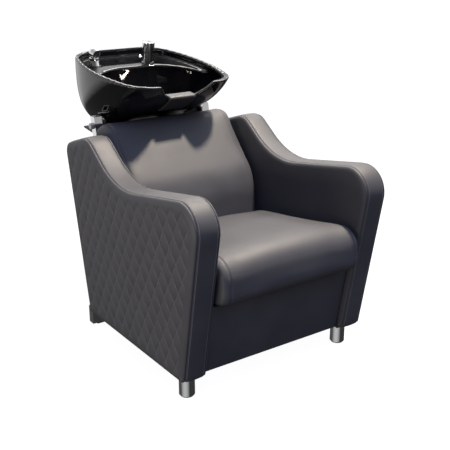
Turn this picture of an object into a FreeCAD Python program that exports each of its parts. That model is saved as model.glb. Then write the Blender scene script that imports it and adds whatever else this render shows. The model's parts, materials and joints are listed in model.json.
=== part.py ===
import FreeCAD, Part
import Sketcher
import math
import os
from types import SimpleNamespace
from FreeCAD import Placement, Rotation, Vector

# Salon shampoo chair: an upholstered armchair with a tilting ceramic bowl on a steel stand behind it.
# Millimetres, +Z up. The sitter looks along -Y, so the sitter's left is +X.
# The origin is on the floor, under the middle of the whole chair.

# Driving dimensions: alias, amount and what it measures.
SIZES = (
    ("overall_width", 725, "outer face to outer face of the arms"),
    ("underside_height", 76, "floor to the underside of the body"),
    ("soft_gap", 0.4, "clearance round soft pieces"),
    ("overrun", 12, "how far a cutting shape passes the face that it cuts"),
    ("arm_thickness", 91, "outer face to inner face of one arm"),
    ("arm_front", 578, "front corner of the arm outline, ahead of the origin"),
    ("arm_depth", 840, "front corner to rear corner of the arm outline"),
    ("arm_height", 642, "underside to the crest corner of the arm outline"),
    ("arm_nose_radius", 85, "round front end of the arm"),
    ("arm_dip_radius", 280, "hollow where the forearm lies"),
    ("arm_crest_radius", 70, "round crest beside the backrest"),
    ("arm_heel_radius", 40, "rear upper corner of the arm"),
    ("arm_toe_radius", 8, "lower corners of the arm"),
    ("arm_pad_thickness", 10, "outer and inner pads"),
    ("arm_pad_round", 4, "rolled edge of the pads"),
    ("arm_seam_inset", 1.5, "pads stop short of the band by this"),
    ("arm_band_thickness", 14, "padded band over front, top and back"),
    ("arm_rail_width", 55, "timber posts and rails inside the arm"),
    ("quilt_spacing", 56, "stitched lines of one family, measured level"),
    ("quilt_rising_deg", 52, "slant of the lines that rise towards the back"),
    ("quilt_falling_deg", 61.5, "slant of the lines that fall towards the back"),
    ("quilt_groove", 5, "width of a stitched groove"),
    ("quilt_depth", 2.5, "depth of a stitched groove"),
    ("seat_side_gap", 2, "seat cushion to arm"),
    ("seat_nose_inset", 18, "front corner of the arms to the front of the seat cushion"),
    ("seat_back_gap", 10, "rear of the seat cushion to the backrest"),
    ("seat_height", 470, "front upper corner of the seat outline"),
    ("seat_thickness", 142, "seat cushion at its sides"),
    ("seat_tilt_deg", 8.6, "fall of the seat towards the back"),
    ("seat_crown", 13, "rise of the seat in its middle"),
    ("seat_nose_radius", 62, "waterfall front"),
    ("seat_sole_radius", 42, "underside of the waterfall front"),
    ("seat_heel_radius", 14, "rear corners of the seat"),
    ("seat_side_round", 20, "rolled side edges of the seat"),
    ("seat_board_thickness", 18, "plywood under the cushion"),
    ("seat_rail_clearance", 4, "front seat rail to the front panel"),
    ("seat_rail_depth", 28, "rails under the seat board"),
    ("seat_rail_height", 60, "rails under the seat board"),
    ("back_lead", 184.9, "rear toe of the arms to the lower front corner of the backrest"),
    ("back_bottom", 262, "floor to the lower end of the backrest"),
    ("back_clearance", 5.8, "rear of the backrest to the uprights"),
    ("back_height", 486, "lower end to the upper corner of the backrest outline"),
    ("back_side_gap", 12, "backrest to arm"),
    ("back_kink_radius", 190, "bend of the front face"),
    ("back_brow_radius", 60, "upper front edge"),
    ("back_nape_radius", 34, "upper rear edge"),
    ("back_fold_radius", 60, "bend of the rear face"),
    ("back_foot_radius", 16, "lower corners of the backrest"),
    ("back_side_round", 30, "rolled side edges of the backrest"),
    ("back_crown", 10, "swell of the front face in its middle"),
    ("back_board_thickness", 15, "plywood behind the backrest cushion"),
    ("back_rail_depth", 26, "upper cross rail"),
    ("back_rail_height", 45, "upper cross rail"),
    ("lower_rail_depth", 50, "lower cross rail"),
    ("lower_rail_height", 60, "lower cross rail"),
    ("lower_rail_lead", 79.9, "rear toe of the arms to the front of the lower cross rail"),
    ("rear_panel_thickness", 18, "upholstered rear board"),
    ("rear_panel_inset", 6, "rear board inside the arms' rear edges"),
    ("front_panel_thickness", 20, "upholstered board under the seat"),
    ("front_panel_setback", 20, "behind the arms' front edges"),
    ("front_panel_height", 237, "along its lean"),
    ("dust_cover_thickness", 1.5, "cloth under the body"),
    ("foot_diameter", 50, "chromed front foot"),
    ("foot_wall", 2.5, "tube wall of the front foot"),
    ("foot_inset", 51.5, "arm's outer face to the middle of the foot"),
    ("foot_setback", 54, "toe of the arm to the middle of the foot"),
    ("foot_plate_size", 72, "square plate on the foot"),
    ("foot_plate_thickness", 4, "square plate on the foot"),
    ("foot_screw_spacing", 54, "screws in the square plate"),
    ("foot_screw_diameter", 4.5, "screws in the square plate"),
    ("foot_screw_length", 26, "screws in the square plate"),
    ("foot_screw_head", 8.4, "screws in the square plate"),
    ("foot_screw_head_height", 2.6, "screws in the square plate"),
    ("glide_height", 5, "plastic glide under the foot"),
    ("glide_diameter", 42, "plastic glide under the foot"),
    ("glide_spigot", 14, "length of the glide inside the tube"),
    ("bar_inset", 34.5, "outer face of an arm to the end of the rear foot bar"),
    ("bar_depth", 30, "rear foot bar"),
    ("bar_wall", 3, "tube wall of the rear foot bar"),
    ("bar_behind", 38.6, "rear toe of the arms to the front of the rear foot bar"),
    ("bar_plug_thickness", 4, "plastic plug, part outside the tube"),
    ("bar_plug_depth", 18, "plastic plug, part inside the tube"),
    ("bar_pad_thickness", 4, "rubber pad under the bar"),
    ("bar_pad_length", 70, "rubber pad under the bar"),
    ("bar_pad_inset", 48, "end of the bar to the middle of a rubber pad"),
    ("floor_hole_inset", 128, "end of the bar to a hole for a floor anchor"),
    ("floor_hole_diameter", 11, "holes for floor anchors"),
    ("mount_plate_thickness", 6, "plate that ties the body to the bar"),
    ("mount_plate_margin", 8, "plate beyond the uprights"),
    ("mount_plate_lead", 85.9, "rear toe of the arms to the front of the plate"),
    ("mount_bolt_inset", 75, "middle of an upright to a bolt into the lower cross rail"),
    ("bolt_diameter", 8, "hexagon bolts of the stand"),
    ("bolt_head_width", 13, "across the flats"),
    ("bolt_head_height", 5.5, "hexagon bolts of the stand"),
    ("bolt_clearance", 0.5, "radial room round bolts in plates"),
    ("mount_bolt_length", 46, "under the head"),
    ("upright_width", 30, "square tube uprights"),
    ("upright_depth", 30, "square tube uprights"),
    ("upright_wall", 2.5, "square tube uprights"),
    ("upright_inset", 46.5, "inner face of an arm to the middle of an upright"),
    ("upright_rise", 34.5, "uprights above the tilt axis"),
    ("upright_bolt_length", 72, "under the head"),
    ("bowl_setback", 41.4, "rear of the backrest to the middle of the bowl"),
    ("bowl_rise", 151, "upper corner of the backrest to the rim at the middle of the bowl"),
    ("bowl_tilt_deg", 6.84, "fall of the rim towards the neck"),
    ("bowl_inset", 129.5, "outer face of an arm to the side of the rim"),
    ("bowl_front", 282, "middle of the bowl to the neck side of the rim"),
    ("bowl_rear", 262, "middle of the bowl to the rear of the rim"),
    ("bowl_height", 232, "rim to foot"),
    ("bowl_wall", 13, "ceramic wall"),
    ("bowl_floor", 14, "ceramic floor"),
    ("deck_drop", 33, "rim to the rear deck"),
    ("deck_thickness", 14, "ceramic under the tap"),
    ("notch_width", 214, "neck notch at the rim"),
    ("notch_floor_width", 108, "neck notch at its floor"),
    ("notch_depth", 60, "neck notch below the rim"),
    ("notch_radius", 26, "corners of the neck notch"),
    ("neck_rest_width", 104, "rubber neck rest"),
    ("neck_rest_thickness", 11, "rubber neck rest"),
    ("neck_rest_flap", 60, "height of the outer flap"),
    ("neck_rest_saddle", 44, "length of the saddle over the lip"),
    ("pivot_ahead", 33, "tilt axis ahead of the middle of the bowl"),
    ("pivot_drop", 191, "tilt axis below the rim"),
    ("pivot_diameter", 12, "pivot bolt"),
    ("running_clearance", 0.05, "radial room of a shaft in its hole"),
    ("slide_clearance", 0.3, "room between pieces that move past each other"),
    ("ear_thickness", 6, "tilt ear on the upright"),
    ("ear_reach", 62, "tilt ear behind the tilt axis"),
    ("ear_rise", 30, "tilt ear above the tilt axis"),
    ("ear_fall", 46, "tilt ear below the tilt axis"),
    ("tilt_travel_deg", 15, "bowl tilt, front up"),
    ("stop_pin_diameter", 10, "pin of the cradle in the slot of the ear"),
    ("stop_pin_distance", 46, "tilt axis to the stop pin"),
    ("cradle_thickness", 5, "steel cradle under the bowl"),
    ("cradle_front", 62, "cradle ahead of the middle of the bowl"),
    ("cradle_rear", 108, "cradle behind the middle of the bowl"),
    ("cradle_lug_rise", 26, "lug above the tilt axis"),
    ("cradle_pad_thickness", 6, "rubber pads between bowl and cradle"),
    ("cradle_pad_width", 34, "rubber pads between bowl and cradle"),
    ("cradle_pad_length", 54, "rubber pads between bowl and cradle"),
    ("cradle_pad_front", 16, "rubber pads behind the middle of the bowl"),
    ("drain_behind", 33, "drain behind the middle of the bowl"),
    ("drain_hole_diameter", 46, "hole in the floor of the basin"),
    ("drain_flange_diameter", 60, "flange in the basin"),
    ("drain_flange_thickness", 3, "flange in the basin"),
    ("drain_tube_diameter", 40, "tailpiece"),
    ("drain_tube_wall", 2.5, "tailpiece"),
    ("drain_tube_length", 92, "tailpiece below the basin floor"),
    ("drain_spigot_diameter", 38, "plain lower end of the tailpiece"),
    ("drain_spigot_length", 45, "plain lower end of the tailpiece"),
    ("drain_nut_diameter", 66, "lock nut under the basin"),
    ("drain_nut_height", 12, "lock nut under the basin"),
    ("strainer_depth", 20, "hair strainer below the flange"),
    ("strainer_rim_diameter", 48, "hair strainer"),
    ("strainer_rim_thickness", 2, "hair strainer"),
    ("strainer_wall", 1.5, "hair strainer"),
    ("strainer_hole_diameter", 5, "holes of the hair strainer"),
    ("tap_diameter", 46, "mixer body"),
    ("tap_base_diameter", 39, "foot of the mixer body"),
    ("tap_base_height", 8, "foot of the mixer body"),
    ("tap_body_height", 50, "deck to the turning cap"),
    ("tap_cap_height", 29, "turning cap"),
    ("tap_shank_diameter", 32, "threaded shank through the deck"),
    ("tap_shank_length", 58, "below the deck face"),
    ("tap_nut_diameter", 46, "nuts under the deck"),
    ("tap_nut_height", 9, "nuts under the deck"),
    ("tap_spindle_diameter", 18, "spindle inside the cap"),
    ("tap_spindle_height", 14, "spindle inside the cap"),
    ("lever_length", 38, "lever from the middle of the cap"),
    ("lever_width", 17, "lever"),
    ("lever_thickness", 7, "lever"),
    ("lever_pin_diameter", 6, "cross pin of the lever"),
    ("lever_pin_drop", 8, "cross pin below the top of the cap"),
    ("lever_rise_deg", 4, "rise of the closed lever"),
    ("lever_turn_deg", 90, "lever turned from the hand shower's side to the rear"),
    ("holder_diameter", 46, "foot of the shower holder"),
    ("holder_height", 22, "shower holder above the deck"),
    ("holder_bore", 27, "bore of the shower holder"),
    ("holder_collar", 36, "upper end of the shower holder"),
    ("holder_shank_diameter", 34, "threaded shank of the holder"),
    ("holder_shank_length", 44, "below the deck face"),
    ("handset_diameter", 26, "hand shower in its holder"),
    ("handset_tail", 84, "hand shower below the holder's collar"),
    ("handset_collar_diameter", 34, "collar that rests on the holder"),
    ("handset_collar_height", 8, "collar that rests on the holder"),
    ("handset_head_diameter", 34, "bell of the hand shower"),
    ("handset_head_length", 17, "bell of the hand shower"),
    ("handset_head_rise", 20, "middle of the bell above the collar"),
    ("handset_head_turn_deg", 107, "bell turned down from straight up"),
    ("handset_head_swing_deg", 11, "bell turned from the neck towards the middle of the basin"),
    ("handset_neck_diameter", 36, "round back of the bell"),
    ("spray_face_thickness", 4, "rubber spray face"),
)

# Outlines as shares, chosen by hand, of the sizes that they follow.
# Arm, seen from the side: (share of depth, share of height), from the toe round by the back.
ARM_SHARES = ((0.123, 0), (0.857, 0), (1, 0.921), (0.804, 1), (0.581, 0.79), (0, 0.919))
# Backrest, seen from the side, from its lower front corner round by the rear.
BACK_SHARES = ((0, 0), (0.29, 0), (0.345, 0.455), (0.945, 0.795), (0.985, 0.915), (0.715, 1), (0.07, 0.535))
# Bowl from above: (share of half width, share of length) of the ends and middles of its arcs.
RIM_SHARES = ((0.47, 0), (0.764, 0.05), (0.897, 0.146), (1, 0.45), (0.88, 0.82), (0.75, 0.93), (0.47, 1))
BASIN_SHARES = ((0.42, 0), (0.74, 0.06), (0.9, 0.19), (1, 0.47), (0.83, 0.78), (0.6, 0.93), (0.28, 1))
# Levels of the bowl's outside: share of its height, half width, front and rear.
SKIRT_SHARES = (
    (0, 1, 1, 1),
    (0.26, 0.982, 0.825, 0.985),
    (0.52, 0.94, 0.56, 0.955),
    (0.78, 0.84, 0.21, 0.87),
    (1, 0.62, -0.05, 0.68),
)
# Levels of the basin: share of its depth below the deck, half width, front and rear of the bowl.
BASIN_LEVEL_SHARES = (
    (0, 0.915, 0.85, 0.4),
    (0.32, 0.875, 0.61, 0.375),
    (0.64, 0.755, 0.31, 0.335),
    (0.9, 0.55, 0.06, 0.3),
    (1, 0.4, 0, 0.25),
)
# Places on the bowl: shares of its half width, and of the length from its middle to its rear.
TAP_SHARES = (0.352, 0.542)
SHOWER_SHARES = (0.584, 0.611)
CRADLE_PAD_SHARE = 0.408
# Top of the rear panel and middle of the upper cross rail, as shares of the backrest's height.
REAR_PANEL_SHARE = 0.747
UPPER_RAIL_SHARE = 0.626
# Tight inner corners keep this share of their radius.
TIGHT_SHARE = 0.25
# Split of the arm's timber ring into posts and rails, as a share of the arm's height.
POST_TOP_SHARE = 0.7
# A groove's cutting wedge is this much larger than the groove, so that it passes the face.
GROOVE_SPARE_SHARE = 1.2
# The backrest board runs up behind this share of the laid-back stretch.
BOARD_TOP_SHARE = 0.45
# Rolled cushion edges pass through these angles, in degrees.
ROLL_ANGLES = (15, 45, 90)
# Further stations of a cushion, as shares of its half width.
CROWN_SHARES = (0.8, 0.48)

X_AXIS = Vector(1, 0, 0)
Y_AXIS = Vector(0, 1, 0)
Z_AXIS = Vector(0, 0, 1)
ORIGIN = Vector(0, 0, 0)

doc = FreeCAD.newDocument("ShampooChair")
sheet = doc.addObject("Spreadsheet::Sheet", "Sizes")
for row, (alias, amount, note) in enumerate(SIZES, start=1):
    sheet.set(f"A{row}", note)
    sheet.set(f"B{row}", str(amount))
    sheet.setAlias(f"B{row}", alias)
doc.recompute()
size = SimpleNamespace(**{alias: float(sheet.get(alias)) for alias, amount, note in SIZES})
parts = []


def add_feature(label, shape, place=Placement()):
    """A sub-part whose shape comes from the sheet's values."""
    feature = doc.addObject("Part::Feature", label)
    feature.Label = label
    feature.Shape = shape
    feature.Placement = place.multiply(shape.Placement)
    parts.append(feature)
    return feature


def add_box(label, length, width, height, corner, place=Placement()):
    """A Part box: its sizes and its low corner are expressions on the sheet."""
    box = doc.addObject("Part::Box", label)
    box.Label = label
    box.setExpression("Length", length)
    box.setExpression("Width", width)
    box.setExpression("Height", height)
    for axis, amount in zip("xyz", corner):
        box.setExpression(f"Placement.Base.{axis}", amount)
    doc.recompute()
    if place != Placement():
        for axis in "xyz":
            box.setExpression(f"Placement.Base.{axis}", None)
        box.Placement = place.multiply(box.Placement)
    parts.append(box)
    return box


def origin_plane(body, role):
    return next(plane for plane in body.Origin.OriginFeatures if plane.Role == role)


def add_sketch(body, name, role, outline, holes=()):
    """A closed polygon and round holes; every corner and radius is an expression on the sheet."""
    sketch = body.newObject("Sketcher::SketchObject", name)
    sketch.AttachmentSupport = [(origin_plane(body, role), "")]
    sketch.MapMode = "FlatFace"
    count = len(outline)
    corners = []
    for index in range(count):
        angle = 2 * math.pi * index / count
        corners.append(Vector(math.cos(angle), math.sin(angle), 0))
    for index in range(count):
        sketch.addGeometry(Part.LineSegment(corners[index], corners[(index + 1) % count]), False)
    for index in range(count):
        sketch.addConstraint(Sketcher.Constraint("Coincident", index, 2, (index + 1) % count, 1))
    for index, corner in enumerate(outline):
        place_point(sketch, index, 1, corner)
    for across, along, radius in holes:
        circle = sketch.addGeometry(Part.Circle(ORIGIN, Z_AXIS, 1), False)
        constraint = sketch.addConstraint(Sketcher.Constraint("Radius", circle, 1))
        sketch.setExpression(f"Constraints[{constraint}]", radius)
        place_point(sketch, circle, 3, (across, along))
    return sketch


def place_point(sketch, geometry, point, spot):
    """Hold one point of a sketch at a spot given by two expressions."""
    for kind, amount in zip(("DistanceX", "DistanceY"), spot):
        constraint = sketch.addConstraint(Sketcher.Constraint(kind, -1, 1, geometry, point, 1))
        sketch.setExpression(f"Constraints[{constraint}]", amount)


def add_pad(label, role, outline, depth, holes=(), place=Placement(), symmetric=False):
    """A body padded from one sketch."""
    body = doc.addObject("PartDesign::Body", label)
    body.Label = label
    sketch = add_sketch(body, label + "_outline", role, outline, holes)
    pad = body.newObject("PartDesign::Pad", label + "_pad")
    pad.Profile = sketch
    pad.setExpression("Length", depth)
    if symmetric:
        pad.SideType = "Symmetric"
    body.Placement = place
    parts.append(body)
    return body


def add_revolution(label, outline, place=Placement()):
    """A body turned about its own Z axis; the outline is (radius, height) expressions."""
    body = doc.addObject("PartDesign::Body", label)
    body.Label = label
    sketch = add_sketch(body, label + "_outline", "XZ_Plane", outline)
    turned = body.newObject("PartDesign::Revolution", label + "_turned")
    turned.Profile = sketch
    turned.ReferenceAxis = (sketch, ["V_Axis"])
    turned.Angle = 360
    body.Placement = place
    parts.append(body)
    return body


def rounded_wire(corners, radii):
    """A closed wire of lines, with an arc at each corner."""
    count = len(corners)
    arcs = []
    for index in range(count):
        corner = corners[index]
        into = (corner - corners[index - 1]).normalize()
        out = (corners[(index + 1) % count] - corner).normalize()
        half_turn = into.getAngle(out) / 2
        radius = radii[index]
        reach = radius * math.tan(half_turn)
        inward = (out - into).normalize()
        middle = corner + inward * (radius / math.cos(half_turn) - radius)
        arcs.append((corner - into * reach, middle, corner + out * reach))
    edges = []
    for index in range(count):
        edges.append(Part.Arc(*arcs[index]).toShape())
        edges.append(Part.LineSegment(arcs[index][2], arcs[(index + 1) % count][0]).toShape())
    return Part.Wire(edges)


def inset_corners(corners, radii, distance):
    """Corners and radii of a side outline moved inwards; the outline runs anticlockwise seen from +X."""
    count = len(corners)
    moved = []
    new_radii = []
    for index in range(count):
        into = (corners[index] - corners[index - 1]).normalize()
        out = (corners[(index + 1) % count] - corners[index]).normalize()
        first = X_AXIS.cross(into)
        second = X_AXIS.cross(out)
        moved.append(corners[index] + (first + second) * (distance / (1 + first.dot(second))))
        hollow = into.cross(out).dot(X_AXIS) < 0
        change = distance if hollow else -distance
        new_radii.append(max(radii[index] + change, radii[index] * TIGHT_SHARE))
    return moved, new_radii


def slab(wire, low, high):
    """A side outline extruded from one X to another."""
    face = Part.Face(wire)
    face.translate(X_AXIS * low)
    return face.extrude(X_AXIS * (high - low))


def block(low, high):
    """A box between two corners."""
    span = high - low
    return Part.makeBox(span.x, span.y, span.z, low)


def rod(radius, start, end):
    """A cylinder from one point to another."""
    return Part.makeCylinder(radius, (end - start).Length, start, end - start)


def hexagon(width, start, end):
    """A hexagon bar from one point to another, given its width across the flats."""
    sides = []
    for index in range(7):
        angle = math.radians(60 * index)
        sides.append(Vector(math.cos(angle), math.sin(angle), 0) * (width / math.sqrt(3)))
    bar = Part.Face(Part.makePolygon(sides)).extrude(Z_AXIS * (end - start).Length)
    bar.Placement = Placement(start, Rotation(Z_AXIS, end - start))
    return bar


def mirror_x(shape):
    return shape.mirror(ORIGIN, X_AXIS)


def add_pair(name, shape):
    """The same piece on the sitter's left (+X) and right."""
    add_feature(name + "_left", shape)
    add_feature(name + "_right", mirror_x(shape))


half_width = size.overall_width / 2
inner_face = half_width - size.arm_thickness


# Arms: timber posts and rails inside a padded band, with a quilted outer pad and a smooth inner pad.
arm_corners = []
for depth_share, height_share in ARM_SHARES:
    arm_y = depth_share * size.arm_depth - size.arm_front
    arm_corners.append(Vector(0, arm_y, size.underside_height + height_share * size.arm_height))
arm_radii = [
    size.arm_toe_radius,
    size.arm_toe_radius,
    size.arm_heel_radius,
    size.arm_crest_radius,
    size.arm_dip_radius,
    size.arm_nose_radius,
]
arm_toe, arm_tail = arm_corners[0], arm_corners[1]
arm_heel, arm_nose = arm_corners[2], arm_corners[5]
# Lengths along the chair start from the arms: from their front corner, or from their rear toe.
seat_nose_y = size.seat_nose_inset - size.arm_front
back_front_y = arm_tail.y - size.back_lead
seat_tail_y = back_front_y - size.seat_back_gap
lower_rail_y = arm_tail.y - size.lower_rail_lead
bar_front_y = arm_tail.y + size.bar_behind
TAIL = f"({ARM_SHARES[1][0]} * Sizes.arm_depth - Sizes.arm_front)"
SEAT_SPAN = f"({TAIL} - Sizes.back_lead - Sizes.seat_back_gap + Sizes.arm_front - Sizes.seat_nose_inset)"
# The front panel leans with the arms' front edges, the rear panel with their rear edges.
front_lean = math.degrees(math.atan2(arm_toe.y - arm_nose.y, arm_nose.z - arm_toe.z))
rear_lean = math.degrees(math.atan2(arm_heel.y - arm_tail.y, arm_heel.z - arm_tail.z))
front_frame = Placement(arm_toe + Y_AXIS * size.front_panel_setback, Rotation(X_AXIS, front_lean))
rear_frame = Placement(arm_tail - Y_AXIS * size.rear_panel_inset, Rotation(X_AXIS, -rear_lean))


def upright_front(height):
    """Y of the uprights' front face at a height."""
    lean = math.tan(math.radians(rear_lean))
    return arm_tail.y + size.soft_gap - size.rear_panel_inset + lean * (height - size.underside_height)


def back_level(share):
    """Height at a share of the backrest's height."""
    return size.back_bottom + share * size.back_height


def lean_height(share):
    """Expression: distance along the rear panel's lean to a share of the backrest's height."""
    slope = math.cos(math.radians(rear_lean))
    return f"(Sizes.back_bottom + {share} * Sizes.back_height - Sizes.underside_height) / {slope}"


# The backrest ends just ahead of the uprights, and the bowl stands behind and above it.
nape_depth_share, nape_height_share = BACK_SHARES[4]
nape_y = upright_front(back_level(nape_height_share)) - size.back_clearance
back_depth = (nape_y - back_front_y) / nape_depth_share
upright_x = inner_face - size.upright_inset
bowl_half = half_width - size.bowl_inset
bowl_frame = Placement(
    Vector(0, nape_y + size.bowl_setback, back_level(1) + size.bowl_rise),
    Rotation(X_AXIS, size.bowl_tilt_deg),
)
pivot_local = Vector(0, -size.pivot_ahead, -size.pivot_drop)
pivot = bowl_frame.multVec(pivot_local)
tap_spot = (TAP_SHARES[0] * bowl_half, TAP_SHARES[1] * size.bowl_rear)
shower_spot = (-SHOWER_SHARES[0] * bowl_half, SHOWER_SHARES[1] * size.bowl_rear)
bar_half = half_width - size.bar_inset
core_low = inner_face + size.arm_pad_thickness
core_high = half_width - size.arm_pad_thickness


def arm_slab(distance, low, high):
    return slab(rounded_wire(*inset_corners(arm_corners, arm_radii, distance)), low, high)


def arm_core(distance, floor):
    """The arm outline drawn in at the front, top and back, and carried down to a floor level."""
    corners, radii = inset_corners(arm_corners, arm_radii, distance)
    for low, high in ((0, 5), (1, 2)):
        fall = (corners[low].z - floor) / (corners[high].z - corners[low].z)
        corners[low] = corners[low] + (corners[low] - corners[high]) * fall
    return slab(rounded_wire(corners, radii), core_low, core_high)


def soften_side(solid, x_face, radius):
    """Round the edges of the flat side that lies at one X."""
    edges = []
    for edge in solid.Edges:
        box = edge.BoundBox
        if abs(box.XMin - x_face) < radius / 2 and abs(box.XMax - x_face) < radius / 2:
            edges.append(edge)
    return solid.makeFillet(radius, edges)


def quilt_grooves(x_face):
    """V-grooves in two families of slanting lines that cross as diamonds."""
    grooves = []
    low = size.underside_height - size.overrun
    climb = size.arm_height + 2 * size.overrun
    groove_half = size.quilt_groove / 2
    for slant in (size.quilt_rising_deg, -size.quilt_falling_deg):
        lean = climb / math.tan(math.radians(slant))
        line = Vector(0, lean, climb)
        across = line.cross(X_AXIS).normalize() * (groove_half * GROOVE_SPARE_SHARE)
        above = X_AXIS * (size.quilt_depth * (GROOVE_SPARE_SHARE - 1))
        count = int((size.arm_depth + abs(lean)) / size.quilt_spacing) + 1
        first = -size.arm_front - max(lean, 0)
        for index in range(count):
            foot = Vector(x_face, first + index * size.quilt_spacing, low)
            corners = [foot - across + above, foot + across + above, foot - X_AXIS * size.quilt_depth]
            grooves.append(Part.Face(Part.makePolygon(corners + corners[:1])).extrude(line))
    return grooves


def build_arms():
    outer_pad = arm_slab(size.arm_seam_inset, core_high, half_width)
    outer_pad = soften_side(outer_pad, half_width, size.arm_pad_round)
    outer_pad = outer_pad.cut(quilt_grooves(half_width))
    add_pair("arm_outer_pad", outer_pad)

    inner_pad = arm_slab(size.arm_seam_inset, inner_face, core_low)
    add_pair("arm_inner_pad", soften_side(inner_pad, inner_face, size.arm_pad_round))

    sole = size.underside_height
    rail_top = sole + size.arm_rail_width
    filling = arm_core(size.arm_band_thickness, sole - size.overrun)
    add_pair("arm_band", arm_slab(0, core_low, core_high).cut(filling))

    ring = arm_core(size.arm_band_thickness, sole)
    ring = ring.cut(arm_core(size.arm_band_thickness + size.arm_rail_width, rail_top))
    post_top = sole + POST_TOP_SHARE * size.arm_height
    crest = sole + size.arm_height
    front = -size.arm_front - size.overrun
    middle = -size.arm_front + size.arm_depth / 2
    rear = -size.arm_front + size.arm_depth + size.overrun

    def zone(y_low, z_low, y_high, z_high):
        return ring.common(block(Vector(core_low, y_low, z_low), Vector(core_high, y_high, z_high)))

    add_pair("arm_bottom_rail", zone(front, sole, rear, rail_top))
    add_pair("arm_front_post", zone(front, rail_top, middle, post_top))
    add_pair("arm_back_post", zone(middle, rail_top, rear, post_top))
    add_pair("arm_top_rail", zone(front, post_top, rear, crest))


# Cushions: side outlines at stations across the width, drawn in where the side edges roll.
def cushion(corners, radii, half, side_round, crown, crown_corners):
    """A crowned cushion lofted from its right side to its left side."""
    stations = []
    for angle in ROLL_ANGLES:
        turn = math.radians(angle)
        stations.append((half - side_round * (1 - math.cos(turn)), side_round * (1 - math.sin(turn))))
    stations += [(half * share, 0) for share in CROWN_SHARES]
    profile = [(-x, draw) for x, draw in stations] + [(0, 0)] + stations[::-1]
    wires = []
    for x, draw in profile:
        swell = 1 - (x / half) ** 2
        raised = list(corners)
        for index, direction in crown_corners:
            raised[index] = raised[index] + direction * (crown * swell)
        wire = rounded_wire(*inset_corners(raised, radii, draw))
        wire.translate(X_AXIS * x)
        wires.append(wire)
    return Part.makeLoft(wires, True, False)


seat_fall = math.tan(math.radians(size.seat_tilt_deg))
seat_span = seat_tail_y - seat_nose_y
seat_sole = size.seat_height - size.seat_thickness
seat_frame = Placement(Vector(0, seat_nose_y, seat_sole), Rotation(X_AXIS, -size.seat_tilt_deg))


def board_setback():
    """Front of the cushion to the seat board, so that the rail under the board clears the front panel."""
    tilt = math.radians(size.seat_tilt_deg)
    lean = math.radians(front_lean)
    drop = size.soft_gap + size.seat_board_thickness + size.seat_rail_height
    panel_rear = front_frame.Base.y + size.front_panel_thickness / math.cos(lean)
    height = seat_sole - drop * math.cos(tilt) - size.underside_height
    reach = panel_rear + size.seat_rail_clearance - seat_nose_y
    reach = reach + drop * math.sin(tilt) - height * math.tan(lean)
    return reach / (math.cos(tilt) - math.sin(tilt) * math.tan(lean))


def build_seat():
    corners = [
        Vector(0, seat_nose_y, seat_sole),
        Vector(0, seat_tail_y, seat_sole - seat_fall * seat_span),
        Vector(0, seat_tail_y, size.seat_height - seat_fall * seat_span),
        Vector(0, seat_nose_y, size.seat_height),
    ]
    radii = [size.seat_sole_radius, size.seat_heel_radius, size.seat_heel_radius, size.seat_nose_radius]
    half = inner_face - size.seat_side_gap
    shape = cushion(corners, radii, half, size.seat_side_round, size.seat_crown, ((2, Z_AXIS), (3, Z_AXIS)))
    add_feature("seat_cushion", shape)

    width = "Sizes.overall_width - 2 * Sizes.arm_thickness"
    left_end = f"-({width}) / 2"
    board_top = "-Sizes.soft_gap"
    board_low = f"{board_top} - Sizes.seat_board_thickness"
    setback = board_setback()
    corner = (left_end, f"{setback}", board_low)
    board_length = f"{SEAT_SPAN} - {setback}"
    add_box("seat_board", width, board_length, "Sizes.seat_board_thickness", corner, seat_frame)
    rail_low = f"{board_low} - Sizes.seat_rail_height"
    rail_ends = (
        ("seat_front_rail", f"{setback}"),
        ("seat_rear_rail", f"{SEAT_SPAN} - Sizes.seat_rail_depth"),
    )
    for label, along in rail_ends:
        corner = (left_end, along, rail_low)
        add_box(label, width, "Sizes.seat_rail_depth", "Sizes.seat_rail_height", corner, seat_frame)


def build_panels():
    width = "Sizes.overall_width - 2 * Sizes.arm_thickness - 2 * Sizes.soft_gap"
    left_end = f"-({width}) / 2"
    corner = (left_end, "0", "Sizes.soft_gap")
    height = "Sizes.front_panel_height"
    add_box("front_panel", width, "Sizes.front_panel_thickness", height, corner, front_frame)
    corner = (left_end, "-Sizes.rear_panel_thickness", "Sizes.soft_gap")
    height = lean_height(REAR_PANEL_SHARE)
    add_box("rear_panel", width, "Sizes.rear_panel_thickness", height, corner, rear_frame)


# Backrest: nearly upright behind the sitter's waist, then laid back towards the bowl.
back_corners = []
for depth_share, height_share in BACK_SHARES:
    back_corners.append(Vector(0, back_front_y + depth_share * back_depth, back_level(height_share)))


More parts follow.
